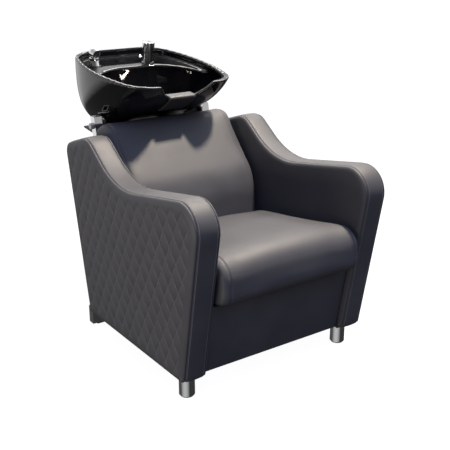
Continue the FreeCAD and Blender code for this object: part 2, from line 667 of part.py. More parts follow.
def build_backrest():
    radii = [
        size.back_foot_radius,
        size.back_foot_radius,
        size.back_fold_radius,
        size.back_nape_radius,
        size.back_nape_radius,
        size.back_brow_radius,
        size.back_kink_radius,
    ]
    half = inner_face - size.back_side_gap
    forward = ((0, -Y_AXIS), (5, -Y_AXIS), (6, -Y_AXIS))
    shape = cushion(back_corners, radii, half, size.back_side_round, size.back_crown, forward)
    add_feature("backrest_cushion", shape)

    foot, fold, nape = back_corners[1], back_corners[2], back_corners[3]
    along_low = (fold - foot).normalize()
    along_high = (nape - fold).normalize()
    behind_low = X_AXIS.cross(along_low) * -1
    behind_high = X_AXIS.cross(along_high) * -1
    gap = size.soft_gap
    depth = size.soft_gap + size.back_board_thickness
    corner_way = (behind_low + behind_high) * (1 / (1 + behind_low.dot(behind_high)))
    board_top = fold + (nape - fold) * BOARD_TOP_SHARE
    corners = [
        foot + behind_low * gap,
        foot + behind_low * depth,
        fold + corner_way * depth,
        board_top + behind_high * depth,
        board_top + behind_high * gap,
        fold + corner_way * gap,
    ]
    eased = size.back_board_thickness / 8
    bends = [eased, eased, size.back_fold_radius - depth, eased, eased, size.back_fold_radius - gap]
    add_feature("backrest_board", slab(rounded_wire(corners, bends), -inner_face, inner_face))

    width = "Sizes.overall_width - 2 * Sizes.arm_thickness"
    left_end = f"-({width}) / 2"
    corner = (
        left_end,
        "-Sizes.rear_panel_thickness - Sizes.back_rail_depth",
        f"{lean_height(UPPER_RAIL_SHARE)} - Sizes.back_rail_height / 2",
    )
    add_box("back_upper_rail", width, "Sizes.back_rail_depth", "Sizes.back_rail_height", corner, rear_frame)
    corner = (left_end, f"{TAIL} - Sizes.lower_rail_lead", "Sizes.underside_height")
    add_box("back_lower_rail", width, "Sizes.lower_rail_depth", "Sizes.lower_rail_height", corner)

    cover_front = arm_toe.y + size.front_panel_setback + size.front_panel_thickness
    length = lower_rail_y - cover_front
    low = Vector(-inner_face, cover_front, size.underside_height)
    add_feature("dust_cover", block(low, low + Vector(2 * inner_face, length, size.dust_cover_thickness)))


# Front feet: chromed tubes on square plates, with plastic glides.
foot_x = half_width - size.foot_inset
foot_y = arm_toe.y + size.foot_setback
foot_spots = (("left", Vector(foot_x, foot_y, 0)), ("right", Vector(-foot_x, foot_y, 0)))


def build_feet():
    top = "Sizes.underside_height - Sizes.foot_plate_thickness"
    outer = "Sizes.foot_diameter / 2"
    inner = "Sizes.foot_diameter / 2 - Sizes.foot_wall"
    base = "Sizes.glide_height"
    outline = ((inner, base), (outer, base), (outer, top), (inner, top))
    for side, spot in foot_spots:
        add_revolution("front_foot_" + side, outline, Placement(spot, Rotation()))

    half = size.foot_plate_size / 2
    low = size.underside_height - size.foot_plate_thickness
    plates = []
    screws = []
    glides = []
    for side, spot in foot_spots:
        plate_corner = spot + Vector(-half, -half, low)
        plate = block(plate_corner, spot + Vector(half, half, size.underside_height))
        for x_side in (-1, 1):
            for y_side in (-1, 1):
                hole = spot + Vector(x_side, y_side, 0) * (size.foot_screw_spacing / 2)
                head = hole + Z_AXIS * (low - size.foot_screw_head_height)
                seat = hole + Z_AXIS * low
                tip = seat + Z_AXIS * size.foot_screw_length
                plate = plate.cut(rod(size.foot_screw_diameter / 2, seat, tip))
                screw = rod(size.foot_screw_head / 2, head, seat)
                screws.append(screw.fuse(rod(size.foot_screw_diameter / 2, seat, tip)).removeSplitter())
        plates.append(plate)
        glide_top = spot + Z_AXIS * size.glide_height
        disc = rod(size.glide_diameter / 2, spot, glide_top)
        spigot_radius = size.foot_diameter / 2 - size.foot_wall - size.running_clearance
        spigot = rod(spigot_radius, glide_top, glide_top + Z_AXIS * size.glide_spigot)
        glides.append(disc.fuse(spigot).removeSplitter())
    add_feature("foot_plates", Part.makeCompound(plates))
    add_feature("foot_screws", Part.makeCompound(screws))
    add_feature("foot_glides", Part.makeCompound(glides))


# Stand: a floor bar, a plate under the body and two uprights along the rear panel.
plate_low = size.underside_height - size.mount_plate_thickness
bar_low = size.bar_pad_thickness
bar_height = plate_low - bar_low
bar_middle = bar_front_y + size.bar_depth / 2
mount_bolt_y = lower_rail_y + size.lower_rail_depth / 2


def hex_bolt(seat, direction, length):
    """A hexagon bolt: its head lies behind the seat, its shank runs along the direction."""
    head = hexagon(size.bolt_head_width, seat - direction * size.bolt_head_height, seat)
    return head.fuse(rod(size.bolt_diameter / 2, seat, seat + direction * length)).removeSplitter()


def build_stand():
    bar = block(
        Vector(-bar_half, bar_front_y, bar_low),
        Vector(bar_half, bar_front_y + size.bar_depth, plate_low),
    )
    wall = Vector(0, size.bar_wall, size.bar_wall)
    hollow_low = Vector(-bar_half - size.overrun, bar_front_y, bar_low) + wall
    hollow_high = Vector(bar_half + size.overrun, bar_front_y + size.bar_depth, plate_low) - wall
    bar = bar.cut(block(hollow_low, hollow_high))
    upright = "(Sizes.overall_width / 2 - Sizes.arm_thickness - Sizes.upright_inset)"
    plate_end = f"({upright} + Sizes.upright_width / 2 + Sizes.mount_plate_margin)"
    plate_front = f"{TAIL} - Sizes.mount_plate_lead"
    plate_rear = f"{TAIL} + Sizes.bar_behind + Sizes.bar_depth"
    plate_outline = (
        (f"-{plate_end}", plate_front),
        (plate_end, plate_front),
        (plate_end, plate_rear),
        (f"-{plate_end}", plate_rear),
    )
    hole_radius = "Sizes.bolt_diameter / 2 + Sizes.bolt_clearance"
    bolt_along = f"{TAIL} - Sizes.lower_rail_lead + Sizes.lower_rail_depth / 2"
    anchor_along = f"{TAIL} + Sizes.bar_behind + Sizes.bar_depth / 2"
    bolt_across = f"({upright} - Sizes.mount_bolt_inset)"
    anchor_across = "(Sizes.overall_width / 2 - Sizes.bar_inset - Sizes.floor_hole_inset)"
    holes = [(f"{side} * {bolt_across}", bolt_along, hole_radius) for side in (-1, 1)]
    for side in (-1, 1):
        spot = Vector(side * (bar_half - size.floor_hole_inset), bar_middle, 0)
        bar = bar.cut(rod(size.floor_hole_diameter / 2, spot, spot + Z_AXIS * size.underside_height))
        holes.append((f"{side} * {anchor_across}", anchor_along, "Sizes.floor_hole_diameter / 2"))
    add_feature("rear_foot_bar", bar)
    plate_place = Placement(Vector(0, 0, plate_low), Rotation())
    add_pad("mounting_plate", "XY_Plane", plate_outline, "Sizes.mount_plate_thickness", holes, plate_place)

    plugs = []
    pads = []
    bolts = []
    for side in (-1, 1):
        end = Vector(side * bar_half, bar_middle, bar_low + bar_height / 2)
        out = X_AXIS * side
        cap_size = Vector(0, size.bar_depth, bar_height) * 0.5
        cap = block_between(end - cap_size, end + cap_size + out * size.bar_plug_thickness)
        stem_size = cap_size - wall
        stem = block_between(end - stem_size - out * size.bar_plug_depth, end + stem_size)
        plugs.append(cap.fuse(stem).removeSplitter())
        pad_x = side * (bar_half - size.bar_pad_inset)
        pad_half = Vector(size.bar_pad_length, size.bar_depth, 0) * 0.5
        pad_middle = Vector(pad_x, bar_middle, 0)
        pads.append(block(pad_middle - pad_half, pad_middle + pad_half + Z_AXIS * size.bar_pad_thickness))
        seat = Vector(side * (upright_x - size.mount_bolt_inset), mount_bolt_y, plate_low)
        bolts.append(hex_bolt(seat, Z_AXIS, size.mount_bolt_length))
    add_feature("bar_end_plugs", Part.makeCompound(plugs))
    add_feature("bar_floor_pads", Part.makeCompound(pads))
    add_feature("mounting_bolts", Part.makeCompound(bolts))


def block_between(first, second):
    """A box between two corners given in any order."""
    low = Vector(min(first.x, second.x), min(first.y, second.y), min(first.z, second.z))
    high = Vector(max(first.x, second.x), max(first.y, second.y), max(first.z, second.z))
    return block(low, high)


# Tilt gear: ears on the uprights, and lugs of the cradle just inside them.
ear_high = upright_x - size.upright_width / 2
ear_low = ear_high - size.ear_thickness
lug_high = ear_low - size.slide_clearance
lug_low = lug_high - size.cradle_thickness


def build_uprights():
    lean = math.tan(math.radians(rear_lean))
    foot = arm_tail + Y_AXIS * (size.soft_gap - size.rear_panel_inset)
    depth = size.upright_depth / math.cos(math.radians(rear_lean))
    wall = size.upright_wall / math.cos(math.radians(rear_lean))
    height = pivot.z + size.upright_rise - size.underside_height
    rise = Vector(0, lean * height, height)
    low_x = upright_x - size.upright_width / 2
    high_x = upright_x + size.upright_width / 2

    def leaning(front, back, spare):
        more = Vector(0, lean * spare, spare)
        start = foot - more
        corners = [start + Y_AXIS * front, start + Y_AXIS * back]
        top = rise + more * 2
        corners += [start + Y_AXIS * back + top, start + Y_AXIS * front + top]
        return Part.makePolygon(corners + corners[:1])

    tube = slab(leaning(0, depth, 0), low_x, high_x)
    inside = leaning(wall, depth - wall, size.overrun)
    tube = tube.cut(slab(inside, low_x + size.upright_wall, high_x - size.upright_wall))
    bore_radius = size.pivot_diameter / 2 + size.running_clearance
    tube = tube.cut(rod(bore_radius, pivot, pivot + X_AXIS * size.overall_width))

    way = rear_frame.Rotation.multVec(Y_AXIS) * -1
    far_side = size.soft_gap + size.upright_depth
    bolt_height = back_level(UPPER_RAIL_SHARE) - size.underside_height
    bolt_along = bolt_height / math.cos(math.radians(rear_lean))
    seat = rear_frame.multVec(Vector(upright_x, far_side, bolt_along))
    hole_radius = size.bolt_diameter / 2 + size.bolt_clearance
    tube = tube.cut(rod(hole_radius, seat - way * size.overrun, seat + way * (far_side + size.overrun)))
    add_pair("upright", tube)
    bolt = hex_bolt(seat, way, size.upright_bolt_length)
    bolts = [bolt, mirror_x(bolt)]
    add_feature("upright_bolts", Part.makeCompound(bolts))


def stop_slot(low, high):
    """The slot of a tilt ear: the stop pin's path from rest to full tilt, seen from the tilt axis."""
    radius = size.stop_pin_diameter / 2 + size.slide_clearance
    middle = size.stop_pin_distance
    travel = -size.tilt_travel_deg
    quarter_turn = math.degrees(math.pi / 2)

    def spot(distance, angle):
        return Vector(0, math.cos(math.radians(angle)), math.sin(math.radians(angle))) * distance

    outer = [spot(middle + radius, travel * share) for share in (0, 0.5, 1)]
    inner = [spot(middle - radius, travel * share) for share in (1, 0.5, 0)]
    far_end = [outer[2], spot(middle, travel) + spot(radius, travel - quarter_turn), inner[0]]
    near_end = [inner[2], spot(middle, 0) + spot(radius, quarter_turn), outer[0]]
    edges = [Part.Arc(*points).toShape() for points in (outer, far_end, inner, near_end)]
    return slab(Part.Wire(edges), low, high)


def build_tilt_ears():
    rear_face = upright_front(pivot.z) - pivot.y
    corners = [
        Vector(0, rear_face, -size.ear_fall),
        Vector(0, size.ear_reach, -size.ear_fall * 0.5),
        Vector(0, size.ear_reach, size.ear_rise * 0.5),
        Vector(0, rear_face, size.ear_rise),
    ]
    ear = slab(rounded_wire(corners, [size.pivot_diameter / 2] * 4), ear_low, ear_high)
    past = size.overrun
    hole = size.pivot_diameter / 2 + size.running_clearance
    ear = ear.cut(rod(hole, Vector(ear_low - past, 0, 0), Vector(ear_high + past, 0, 0)))
    ear = ear.cut(stop_slot(ear_low - past, ear_high + past))
    ear.translate(Vector(0, pivot.y, pivot.z))
    add_pair("tilt_ear", ear)

    outside = upright_x + size.upright_width / 2
    nut_face = lug_low - size.slide_clearance
    tip = nut_face - size.bolt_head_height - size.cradle_thickness
    at_pivot = Vector(0, pivot.y, pivot.z)
    head_width = size.bolt_head_width * size.pivot_diameter / size.bolt_diameter
    head_height = size.bolt_head_height * size.pivot_diameter / size.bolt_diameter
    head = hexagon(head_width, at_pivot + X_AXIS * outside, at_pivot + X_AXIS * (outside + head_height))
    bolt = head.fuse(rod(size.pivot_diameter / 2, at_pivot + X_AXIS * tip, at_pivot + X_AXIS * outside))
    bolt = bolt.removeSplitter()
    add_feature("pivot_bolts", Part.makeCompound([bolt, mirror_x(bolt)]))
    nut = hexagon(head_width, at_pivot + X_AXIS * (nut_face - head_height), at_pivot + X_AXIS * nut_face)
    nut = nut.cut(rod(size.pivot_diameter / 2, at_pivot, at_pivot + X_AXIS * outside))
    add_feature("pivot_nuts", Part.makeCompound([nut, mirror_x(nut)]))


# Ceramic bowl: a skirt with a rear deck, and a basin hung inside it.
def egg_wire(shares, half, front, rear, level):
    """A closed outline from above, straight at the neck and the rear, with three arcs on each side."""
    length = rear - front
    right = [Vector(half * across, front + length * along, level) for across, along in shares]
    left = [Vector(-point.x, point.y, point.z) for point in right]
    edges = [Part.LineSegment(left[0], right[0]).toShape()]
    for start in (0, 2, 4):
        edges.append(Part.Arc(right[start], right[start + 1], right[start + 2]).toShape())
    edges.append(Part.LineSegment(right[6], left[6]).toShape())
    for start in (6, 4, 2):
        edges.append(Part.Arc(left[start], left[start - 1], left[start - 2]).toShape())
    return Part.Wire(edges)


def skirt_solid(shrink, top, foot):
    """The outside of the bowl, drawn in by a wall and lofted between two levels."""
    wires = []
    half = bowl_half
    for depth, width, front, rear in SKIRT_SHARES:
        level = -depth * size.bowl_height
        if level < top:
            neck = shrink - size.bowl_front * front
            tail = size.bowl_rear * rear - shrink
            wires.append(egg_wire(RIM_SHARES, half * width - shrink, neck, tail, level))
    if not wires or wires[0].BoundBox.ZMax < top:
        upper = skirt_level(top)
        wires.insert(0, egg_wire(RIM_SHARES, upper[0] - shrink, upper[1] + shrink, upper[2] - shrink, top))
    if foot < 0:
        width, front, rear = SKIRT_SHARES[-1][1:]
        neck = shrink - size.bowl_front * front
        tail = size.bowl_rear * rear - shrink
        wires.append(egg_wire(RIM_SHARES, half * width - shrink, neck, tail, foot - size.bowl_height))
    return Part.makeLoft(wires, True, False)


def skirt_level(level):
    """Half width, front and rear of the bowl's outside at a level."""
    share = min(max(-level / size.bowl_height, 0), 1)
    for upper, lower in zip(SKIRT_SHARES, SKIRT_SHARES[1:]):
        if share <= lower[0]:
            part = (share - upper[0]) / (lower[0] - upper[0])
            width, front, rear = (a + (b - a) * part for a, b in zip(upper[1:], lower[1:]))
            return bowl_half * width, -size.bowl_front * front, size.bowl_rear * rear
    return None


def basin_solid(side_spare, rear_spare, floor_spare):
    """The basin below the deck, made wider by spare room where it only serves to divide."""
    wires = []
    depth = size.bowl_height - size.bowl_floor - size.deck_drop
    for share, width, front, rear in BASIN_LEVEL_SHARES:
        level = -size.deck_drop - share * depth - floor_spare * share
        half = bowl_half * width + side_spare
        neck = -size.bowl_front * front - side_spare
        wires.append(egg_wire(BASIN_SHARES, half, neck, size.bowl_rear * rear + rear_spare, level))
    top = wires[0].copy()
    top.translate(Z_AXIS * size.overrun)
    return Part.makeLoft(wires, True, False), Part.makeLoft([top, wires[0]], True, False)


def notch_cutter():
    """The neck notch: a tapering U through the front wall."""
    spread = (size.notch_width - size.notch_floor_width) / 2 / size.notch_depth
    top_half = size.notch_width / 2 + spread * size.overrun
    floor_half = size.notch_floor_width / 2
    front = -size.bowl_front - size.overrun
    corners = [
        Vector(-top_half, front, size.overrun),
        Vector(-floor_half, front, -size.notch_depth),
        Vector(floor_half, front, -size.notch_depth),
        Vector(top_half, front, size.overrun),
    ]
    tight = size.overrun * TIGHT_SHARE
    wire = rounded_wire(corners, [tight, size.notch_radius, size.notch_radius, tight])
    return Part.Face(wire).extrude(Y_AXIS * (size.bowl_front / 2))


def build_bowl():
    skirt = skirt_solid(0, 0, 0)
    wall = size.bowl_wall
    recess_wires = []
    for level, height in ((0, size.overrun), (-size.deck_drop, -size.deck_drop)):
        half, front, rear = skirt_level(level)
        recess_wires.append(egg_wire(RIM_SHARES, half - wall, front + wall, rear - wall, height))
    recess = Part.makeLoft(recess_wires, True, True)
    basin, basin_mouth = basin_solid(0, 0, 0)
    divider = basin_solid(bowl_half / 2, wall, wall)[0]
    pocket_top = -size.deck_drop - size.deck_thickness
    pocket = skirt_solid(wall, pocket_top, -size.overrun).cut(divider)
    bowl = skirt.cut(recess).cut(basin).cut(basin_mouth).cut(pocket).cut(notch_cutter())
    holes = (
        (*tap_spot, size.tap_shank_diameter),
        (*shower_spot, size.holder_shank_diameter),
        (0, size.drain_behind, size.drain_hole_diameter),
    )
    for across, behind, diameter in holes:
        foot = Vector(across, behind, -size.bowl_height - size.overrun)
        bowl = bowl.cut(rod(diameter / 2 + size.soft_gap, foot, Vector(across, behind, size.overrun)))
    add_feature("bowl", bowl, bowl_frame)

    # The neck rest hugs the skirt below the notch and lies over its lip.
    half = size.neck_rest_width / 2
    lip = -size.notch_depth
    lip_front = skirt_level(lip)[1]
    hug = skirt_solid(-size.neck_rest_thickness, 0, 0)
    low = Vector(-half, -size.bowl_front - size.overrun, lip - size.neck_rest_flap)
    high = Vector(half, lip_front + size.neck_rest_flap + size.neck_rest_saddle, lip)
    flap = hug.common(block(low, high)).cut(skirt)
    low = Vector(-half, lip_front - size.neck_rest_thickness, lip)
    saddle = block(low, low + Vector(2 * half, size.neck_rest_saddle, size.neck_rest_thickness))
    upper_edges = []
    for edge in saddle.Edges:
        if edge.BoundBox.ZMin > lip + size.neck_rest_thickness / 2 and edge.BoundBox.XLength > half:
            upper_edges.append(edge)
    saddle = saddle.makeFillet(size.neck_rest_thickness * 0.8, upper_edges)
    add_feature("neck_rest", flap.fuse(saddle.cut(bowl)).removeSplitter(), bowl_frame)


def bowl_place(across, behind, level):
    """A placement whose axes follow the bowl."""
    return bowl_frame.multiply(Placement(Vector(across, behind, level), Rotation()))


def build_cradle():
    foot = -size.bowl_height
    top = foot - size.cradle_pad_thickness
    low = top - size.cradle_thickness
    plate = block(Vector(-lug_high, -size.cradle_front, low), Vector(lug_high, size.cradle_rear, top))
    drain = Vector(0, size.drain_behind, low - size.overrun)
    drain_radius = size.drain_tube_diameter / 2 + size.bolt_clearance
    plate = plate.cut(rod(drain_radius, drain, drain + Z_AXIS * size.bowl_height))
    lug_top = -size.pivot_drop + size.cradle_lug_rise
    past_pivot = -size.pivot_ahead + size.cradle_lug_rise
    tail = size.stop_pin_distance + size.stop_pin_diameter - size.pivot_ahead
    tail_top = -size.pivot_drop - size.stop_pin_diameter
    corners = [
        Vector(0, -size.cradle_front, low),
        Vector(0, tail + size.cradle_front, low),
        Vector(0, tail, tail_top),
        Vector(0, past_pivot, lug_top),
        Vector(0, -size.cradle_front, lug_top),
    ]
    lug = slab(Part.makePolygon(corners + corners[:1]), lug_low, lug_high)
    hole = size.pivot_diameter / 2 + size.running_clearance
    lug = lug.cut(rod(hole, pivot_local, pivot_local + X_AXIS * half_width))
    pin_way = bowl_frame.Rotation.inverted().multVec(Y_AXIS) * size.stop_pin_distance
    pin_start = pivot_local + pin_way + X_AXIS * lug_low
    pin_end = pivot_local + pin_way + X_AXIS * ear_high
    lug = lug.fuse(rod(size.stop_pin_diameter / 2, pin_start, pin_end))
    cradle = plate.fuse([lug, mirror_x(lug)]).removeSplitter()
    add_feature("bowl_cradle", cradle, bowl_frame)

    pads = []
    half = size.cradle_pad_width / 2
    for side in (-1, 1):
        across = side * CRADLE_PAD_SHARE * bowl_half
        pad_low = Vector(across - half, size.cradle_pad_front, top)
        pad_high = Vector(across + half, size.cradle_pad_front + size.cradle_pad_length, foot)
        pads.append(block(pad_low, pad_high))
    add_feature("cradle_pads", Part.makeCompound(pads), bowl_frame)


def build_drain():
    place = bowl_place(0, size.drain_behind, -size.bowl_height + size.bowl_floor)
    inner = "Sizes.drain_tube_diameter / 2 - Sizes.drain_tube_wall"
    outer = "Sizes.drain_tube_diameter / 2"
    throat = "-Sizes.bowl_floor / 2"
    flange = "Sizes.drain_flange_diameter / 2"
    thick = "Sizes.drain_flange_thickness"
    outline = ((inner, throat), (outer, throat), (outer, "0"), (flange, "0"), (flange, thick), (inner, thick))
    add_revolution("drain_flange", outline, place)
    foot = "-Sizes.drain_tube_length"
    spigot = "Sizes.drain_spigot_diameter / 2"
    thread = f"{foot} + Sizes.drain_spigot_length"
    outline = (
        (inner, foot),
        (spigot, foot),
        (spigot, thread),
        (outer, thread),
        (outer, throat),
        (inner, throat),
    )
    add_revolution("drain_tailpiece", outline, place)
    nut_top = "-Sizes.bowl_floor - Sizes.cradle_pad_thickness - Sizes.cradle_thickness"
    nut_low = f"{nut_top} - Sizes.drain_nut_height"
    nut_inner = "Sizes.drain_tube_diameter / 2 + Sizes.running_clearance"
    nut_outer = "Sizes.drain_nut_diameter / 2"
    outline = ((nut_inner, nut_low), (nut_outer, nut_low), (nut_outer, nut_top), (nut_inner, nut_top))
    add_revolution("drain_lock_nut", outline, place)

    rim_low = size.drain_flange_thickness
    rim_top = rim_low + size.strainer_rim_thickness
    cup_foot = rim_low - size.strainer_depth
    cup_radius = size.drain_tube_diameter / 2 - size.drain_tube_wall - size.slide_clearance
    cup = rod(cup_radius, Z_AXIS * cup_foot, Z_AXIS * rim_top)
    cup = cup.fuse(rod(size.strainer_rim_diameter / 2, Z_AXIS * rim_low, Z_AXIS * rim_top))
    cup_floor = Z_AXIS * (cup_foot + size.strainer_wall)
    cup = cup.cut(rod(cup_radius - size.strainer_wall, cup_floor, Z_AXIS * size.overrun))
    spots = [ORIGIN]
    for index in range(6):
        angle = math.radians(60 * index)
        spots.append(Vector(math.cos(angle), math.sin(angle), 0) * (cup_radius * 0.6))
    for spot in spots:
        start = spot + Z_AXIS * (cup_foot - size.overrun)
        cup = cup.cut(rod(size.strainer_hole_diameter / 2, start, spot + Z_AXIS * (cup_foot + size.overrun)))
    add_feature("hair_strainer", cup.removeSplitter(), place)


def deck_nut(label, shank, place):
    """A round nut under the deck."""
    inner = f"Sizes.{shank} / 2 + Sizes.running_clearance"
    outer = "Sizes.tap_nut_diameter / 2"
    top = "-Sizes.deck_thickness"
    foot = "-Sizes.deck_thickness - Sizes.tap_nut_height"
    add_revolution(label, ((inner, foot), (outer, foot), (outer, top), (inner, top)), place)


def build_mixer():
    place = bowl_place(*tap_spot, -size.deck_drop)
    shank = "Sizes.tap_shank_diameter / 2"
    base = "Sizes.tap_base_diameter / 2"
    body = "Sizes.tap_diameter / 2"
    spindle = "Sizes.tap_spindle_diameter / 2"
    base_top = "Sizes.tap_base_height"
    body_top = "Sizes.tap_body_height"
    spindle_top = "Sizes.tap_body_height + Sizes.tap_spindle_height"
    outline = (
        ("0", "-Sizes.tap_shank_length"),
        (shank, "-Sizes.tap_shank_length"),
        (shank, "0"),
        (base, "0"),
        (base, f"{base_top} / 2"),
        (body, base_top),
        (body, body_top),
        (spindle, body_top),
        (spindle, spindle_top),
        ("0", spindle_top),
    )
    add_revolution("mixer_body", outline, place)
    deck_nut("mixer_nut", "tap_shank_diameter", place)

    cap_low = size.tap_body_height + size.slide_clearance
    cap_top = cap_low + size.tap_cap_height
    radius = size.tap_diameter / 2
    cap = rod(radius, Z_AXIS * cap_low, Z_AXIS * cap_top)
    crown = [edge for edge in cap.Edges if edge.BoundBox.ZMin > cap_top - size.running_clearance]
    cap = cap.makeFillet(size.lever_pin_drop / 2, crown)
    room = size.tap_spindle_diameter / 2 + size.running_clearance
    cavity_top = size.tap_body_height + size.tap_spindle_height + size.slide_clearance
    cap = cap.cut(rod(room, Z_AXIS * (cap_low - size.overrun), Z_AXIS * cavity_top))
    pin_height = cap_top - size.lever_pin_drop
    slot_half = size.lever_width / 2 + size.slide_clearance
    slot_low = pin_height - size.lever_thickness
    slot_end = size.lever_thickness
    cap = cap.cut(block(
        Vector(-radius - size.overrun, -slot_half, slot_low),
        Vector(slot_end, slot_half, cap_top + size.overrun)))
    pin_radius = size.lever_pin_diameter / 2
    pin_axis = Vector(0, radius * 0.7, 0)
    pin_middle = Z_AXIS * pin_height
    bore = rod(pin_radius + size.running_clearance, pin_middle - pin_axis, pin_middle + pin_axis)
    cap = cap.cut(bore)
    turned = place.multiply(Placement(ORIGIN, Rotation(Z_AXIS, -size.lever_turn_deg)))
    add_feature("mixer_cap", cap, turned)

    half = size.lever_width / 2
    thick = size.lever_thickness / 2
    arm = block(Vector(-size.lever_length, -half, -thick), Vector(0, half, thick))
    tip_edges = []
    for edge in arm.Edges:
        if edge.BoundBox.XMax < -size.lever_length / 2 and edge.BoundBox.ZLength > thick:
            tip_edges.append(edge)
    arm = arm.makeFillet(half * 0.6, tip_edges)
    root = rod(thick, Vector(0, -half, 0), Vector(0, half, 0))
    pin_half = Vector(0, radius * 0.7 - size.slide_clearance, 0)
    lever = arm.fuse([root, rod(pin_radius, pin_half * -1, pin_half)]).removeSplitter()
    lever.rotate(ORIGIN, Y_AXIS, size.lever_rise_deg)
    lever.translate(pin_middle)
    add_feature("mixer_lever", lever, turned)


def build_shower():
    place = bowl_place(*shower_spot, -size.deck_drop)
    bore = "Sizes.holder_bore / 2"
    shank = "Sizes.holder_shank_diameter / 2"
    base = "Sizes.holder_diameter / 2"
    collar = "Sizes.holder_collar / 2"
    outline = (
        (bore, "-Sizes.holder_shank_length"),
        (shank, "-Sizes.holder_shank_length"),
        (shank, "0"),
        (base, "0"),
        (base, "Sizes.holder_height / 4"),
        (collar, "Sizes.holder_height"),
        (bore, "Sizes.holder_height"),
    )
    add_revolution("shower_holder", outline, place)
    deck_nut("holder_nut", "holder_shank_diameter", place)

    seat = size.holder_height + size.slide_clearance
    collar_top = seat + size.handset_collar_height
    knuckle = Z_AXIS * (collar_top + size.handset_head_rise)
    grip = rod(size.handset_diameter / 2, Z_AXIS * (seat - size.handset_tail), knuckle)
    collar = rod(size.handset_collar_diameter / 2, Z_AXIS * seat, Z_AXIS * collar_top)
    turn = math.radians(size.handset_head_turn_deg)
    swing = math.radians(size.handset_head_swing_deg)
    aim = Vector(math.sin(turn) * math.sin(swing), -math.sin(turn) * math.cos(swing), math.cos(turn))
    neck_radius = size.handset_neck_diameter / 2
    head_radius = size.handset_head_diameter / 2
    ball = Part.makeSphere(neck_radius, knuckle)
    bell = Part.makeCone(neck_radius, head_radius, size.handset_head_length, knuckle, aim)
    face_end = knuckle + aim * size.handset_head_length
    face_start = face_end - aim * size.spray_face_thickness
    face_radius = head_radius - size.spray_face_thickness
    handset = grip.fuse([collar, ball, bell]).removeSplitter()
    recess = rod(face_radius + size.running_clearance, face_start, face_end + aim * size.overrun)
    handset = handset.cut(recess)
    add_feature("shower_handset", handset, place)
    add_feature("spray_face", rod(face_radius, face_start, face_end), place)


build_arms()
build_seat()
build_panels()
build_backrest()
build_feet()
build_stand()
build_uprights()
build_tilt_ears()
build_bowl()
build_cradle()
build_drain()
build_mixer()
build_shower()

doc.recompute()
os.makedirs("parts", exist_ok=True)
for part in parts:
    if "Invalid" in part.State or "Error" in part.State:
        raise RuntimeError(f"{part.Label} did not build")
    if part.Shape.isNull() or not part.Shape.isValid():
        raise RuntimeError(f"{part.Label} has no valid shape")
for part in parts:
    part.Shape.exportStep(f"parts/{part.Label}.step")
    print(part.Label, len(part.Shape.Solids), round(part.Shape.Volume / 1000), "cm3")
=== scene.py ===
import json
import math

import bmesh
import bpy
import numpy as np
from mathutils import Matrix, Vector


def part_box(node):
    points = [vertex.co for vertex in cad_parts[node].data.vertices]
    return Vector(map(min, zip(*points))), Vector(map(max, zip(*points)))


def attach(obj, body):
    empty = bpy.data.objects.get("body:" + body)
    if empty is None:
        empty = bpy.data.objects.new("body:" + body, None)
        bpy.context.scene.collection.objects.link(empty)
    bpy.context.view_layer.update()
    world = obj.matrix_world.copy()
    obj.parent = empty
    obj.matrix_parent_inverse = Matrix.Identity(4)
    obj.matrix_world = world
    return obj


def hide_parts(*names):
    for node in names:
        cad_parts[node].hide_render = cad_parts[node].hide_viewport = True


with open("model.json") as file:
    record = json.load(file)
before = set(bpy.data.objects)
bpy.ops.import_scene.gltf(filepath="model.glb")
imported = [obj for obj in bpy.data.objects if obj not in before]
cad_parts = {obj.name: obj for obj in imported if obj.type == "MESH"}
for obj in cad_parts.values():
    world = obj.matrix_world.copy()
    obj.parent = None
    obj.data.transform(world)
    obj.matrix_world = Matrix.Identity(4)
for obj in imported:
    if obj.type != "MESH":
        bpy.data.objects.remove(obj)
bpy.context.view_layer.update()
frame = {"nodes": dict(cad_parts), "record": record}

# Salon shampoo chair: vinyl upholstery, black ceramic bowl and chromed fittings, in metres.
bpy.ops.object.select_all(action="DESELECT")
scene = bpy.context.scene

# Tolerances: a divisor that is never 0, points that are merged, and points that lie on a cut.
TINY = 1e-12
MERGE_DISTANCE = 0.00002
CUT_TOLERANCE = 1e-6

# Arms: the side outline's (y, z) corners and their rounding, from the front toe round by the back.
ARM_CORNERS = (
    (-0.4747, 0.076), (0.1419, 0.076), (0.262, 0.6673), (0.0974, 0.718), (-0.09, 0.5832), (-0.578, 0.666),
)
ARM_ROUNDING = (0.012, 0.012, 0.04, 0.07, 0.28, 0.085)
OUTLINE_STEP = 0.012
ARM_OUTER = 0.3625
ARM_INNER = 0.2715
SEAM_GAP = 0.0015

# Pads on the flats of the arms: the roll of the edge, and the crown with its start and end from the edge.
PAD_THICK = 0.010
PAD_ROLL = 0.0085
ROLL_REACH = 0.019
ROLL_INSETS = (0, 0.0006, 0.0016, 0.0032, 0.0056, 0.0088, 0.0126, 0.0168)
PAD_CROWN = 0.001
QUILTED_CROWN_FADE = (0.008, 0.020)
SMOOTH_CROWN_FADE = (0.010, 0.120)

# Quilting: two families of stitched lines, each with its slant and the y of its first line at the foot.
QUILT_SPACING = 0.056
QUILT_LINES = 26
QUILT_FOOT = 0.064
QUILT_FAMILIES = ((math.radians(52), -1.0983), (-math.radians(61.5), -0.578))
QUILT_SWELL = 0.0032
QUILT_FADE = (0.016, 0.032)
# Cuts between two lines, in spacings, so that the diamonds keep clean edges and round tops.
QUILT_CUTS = (0, 0.04, 0.1, 0.22, 0.36, 0.5, 0.64, 0.78, 0.9, 0.96)

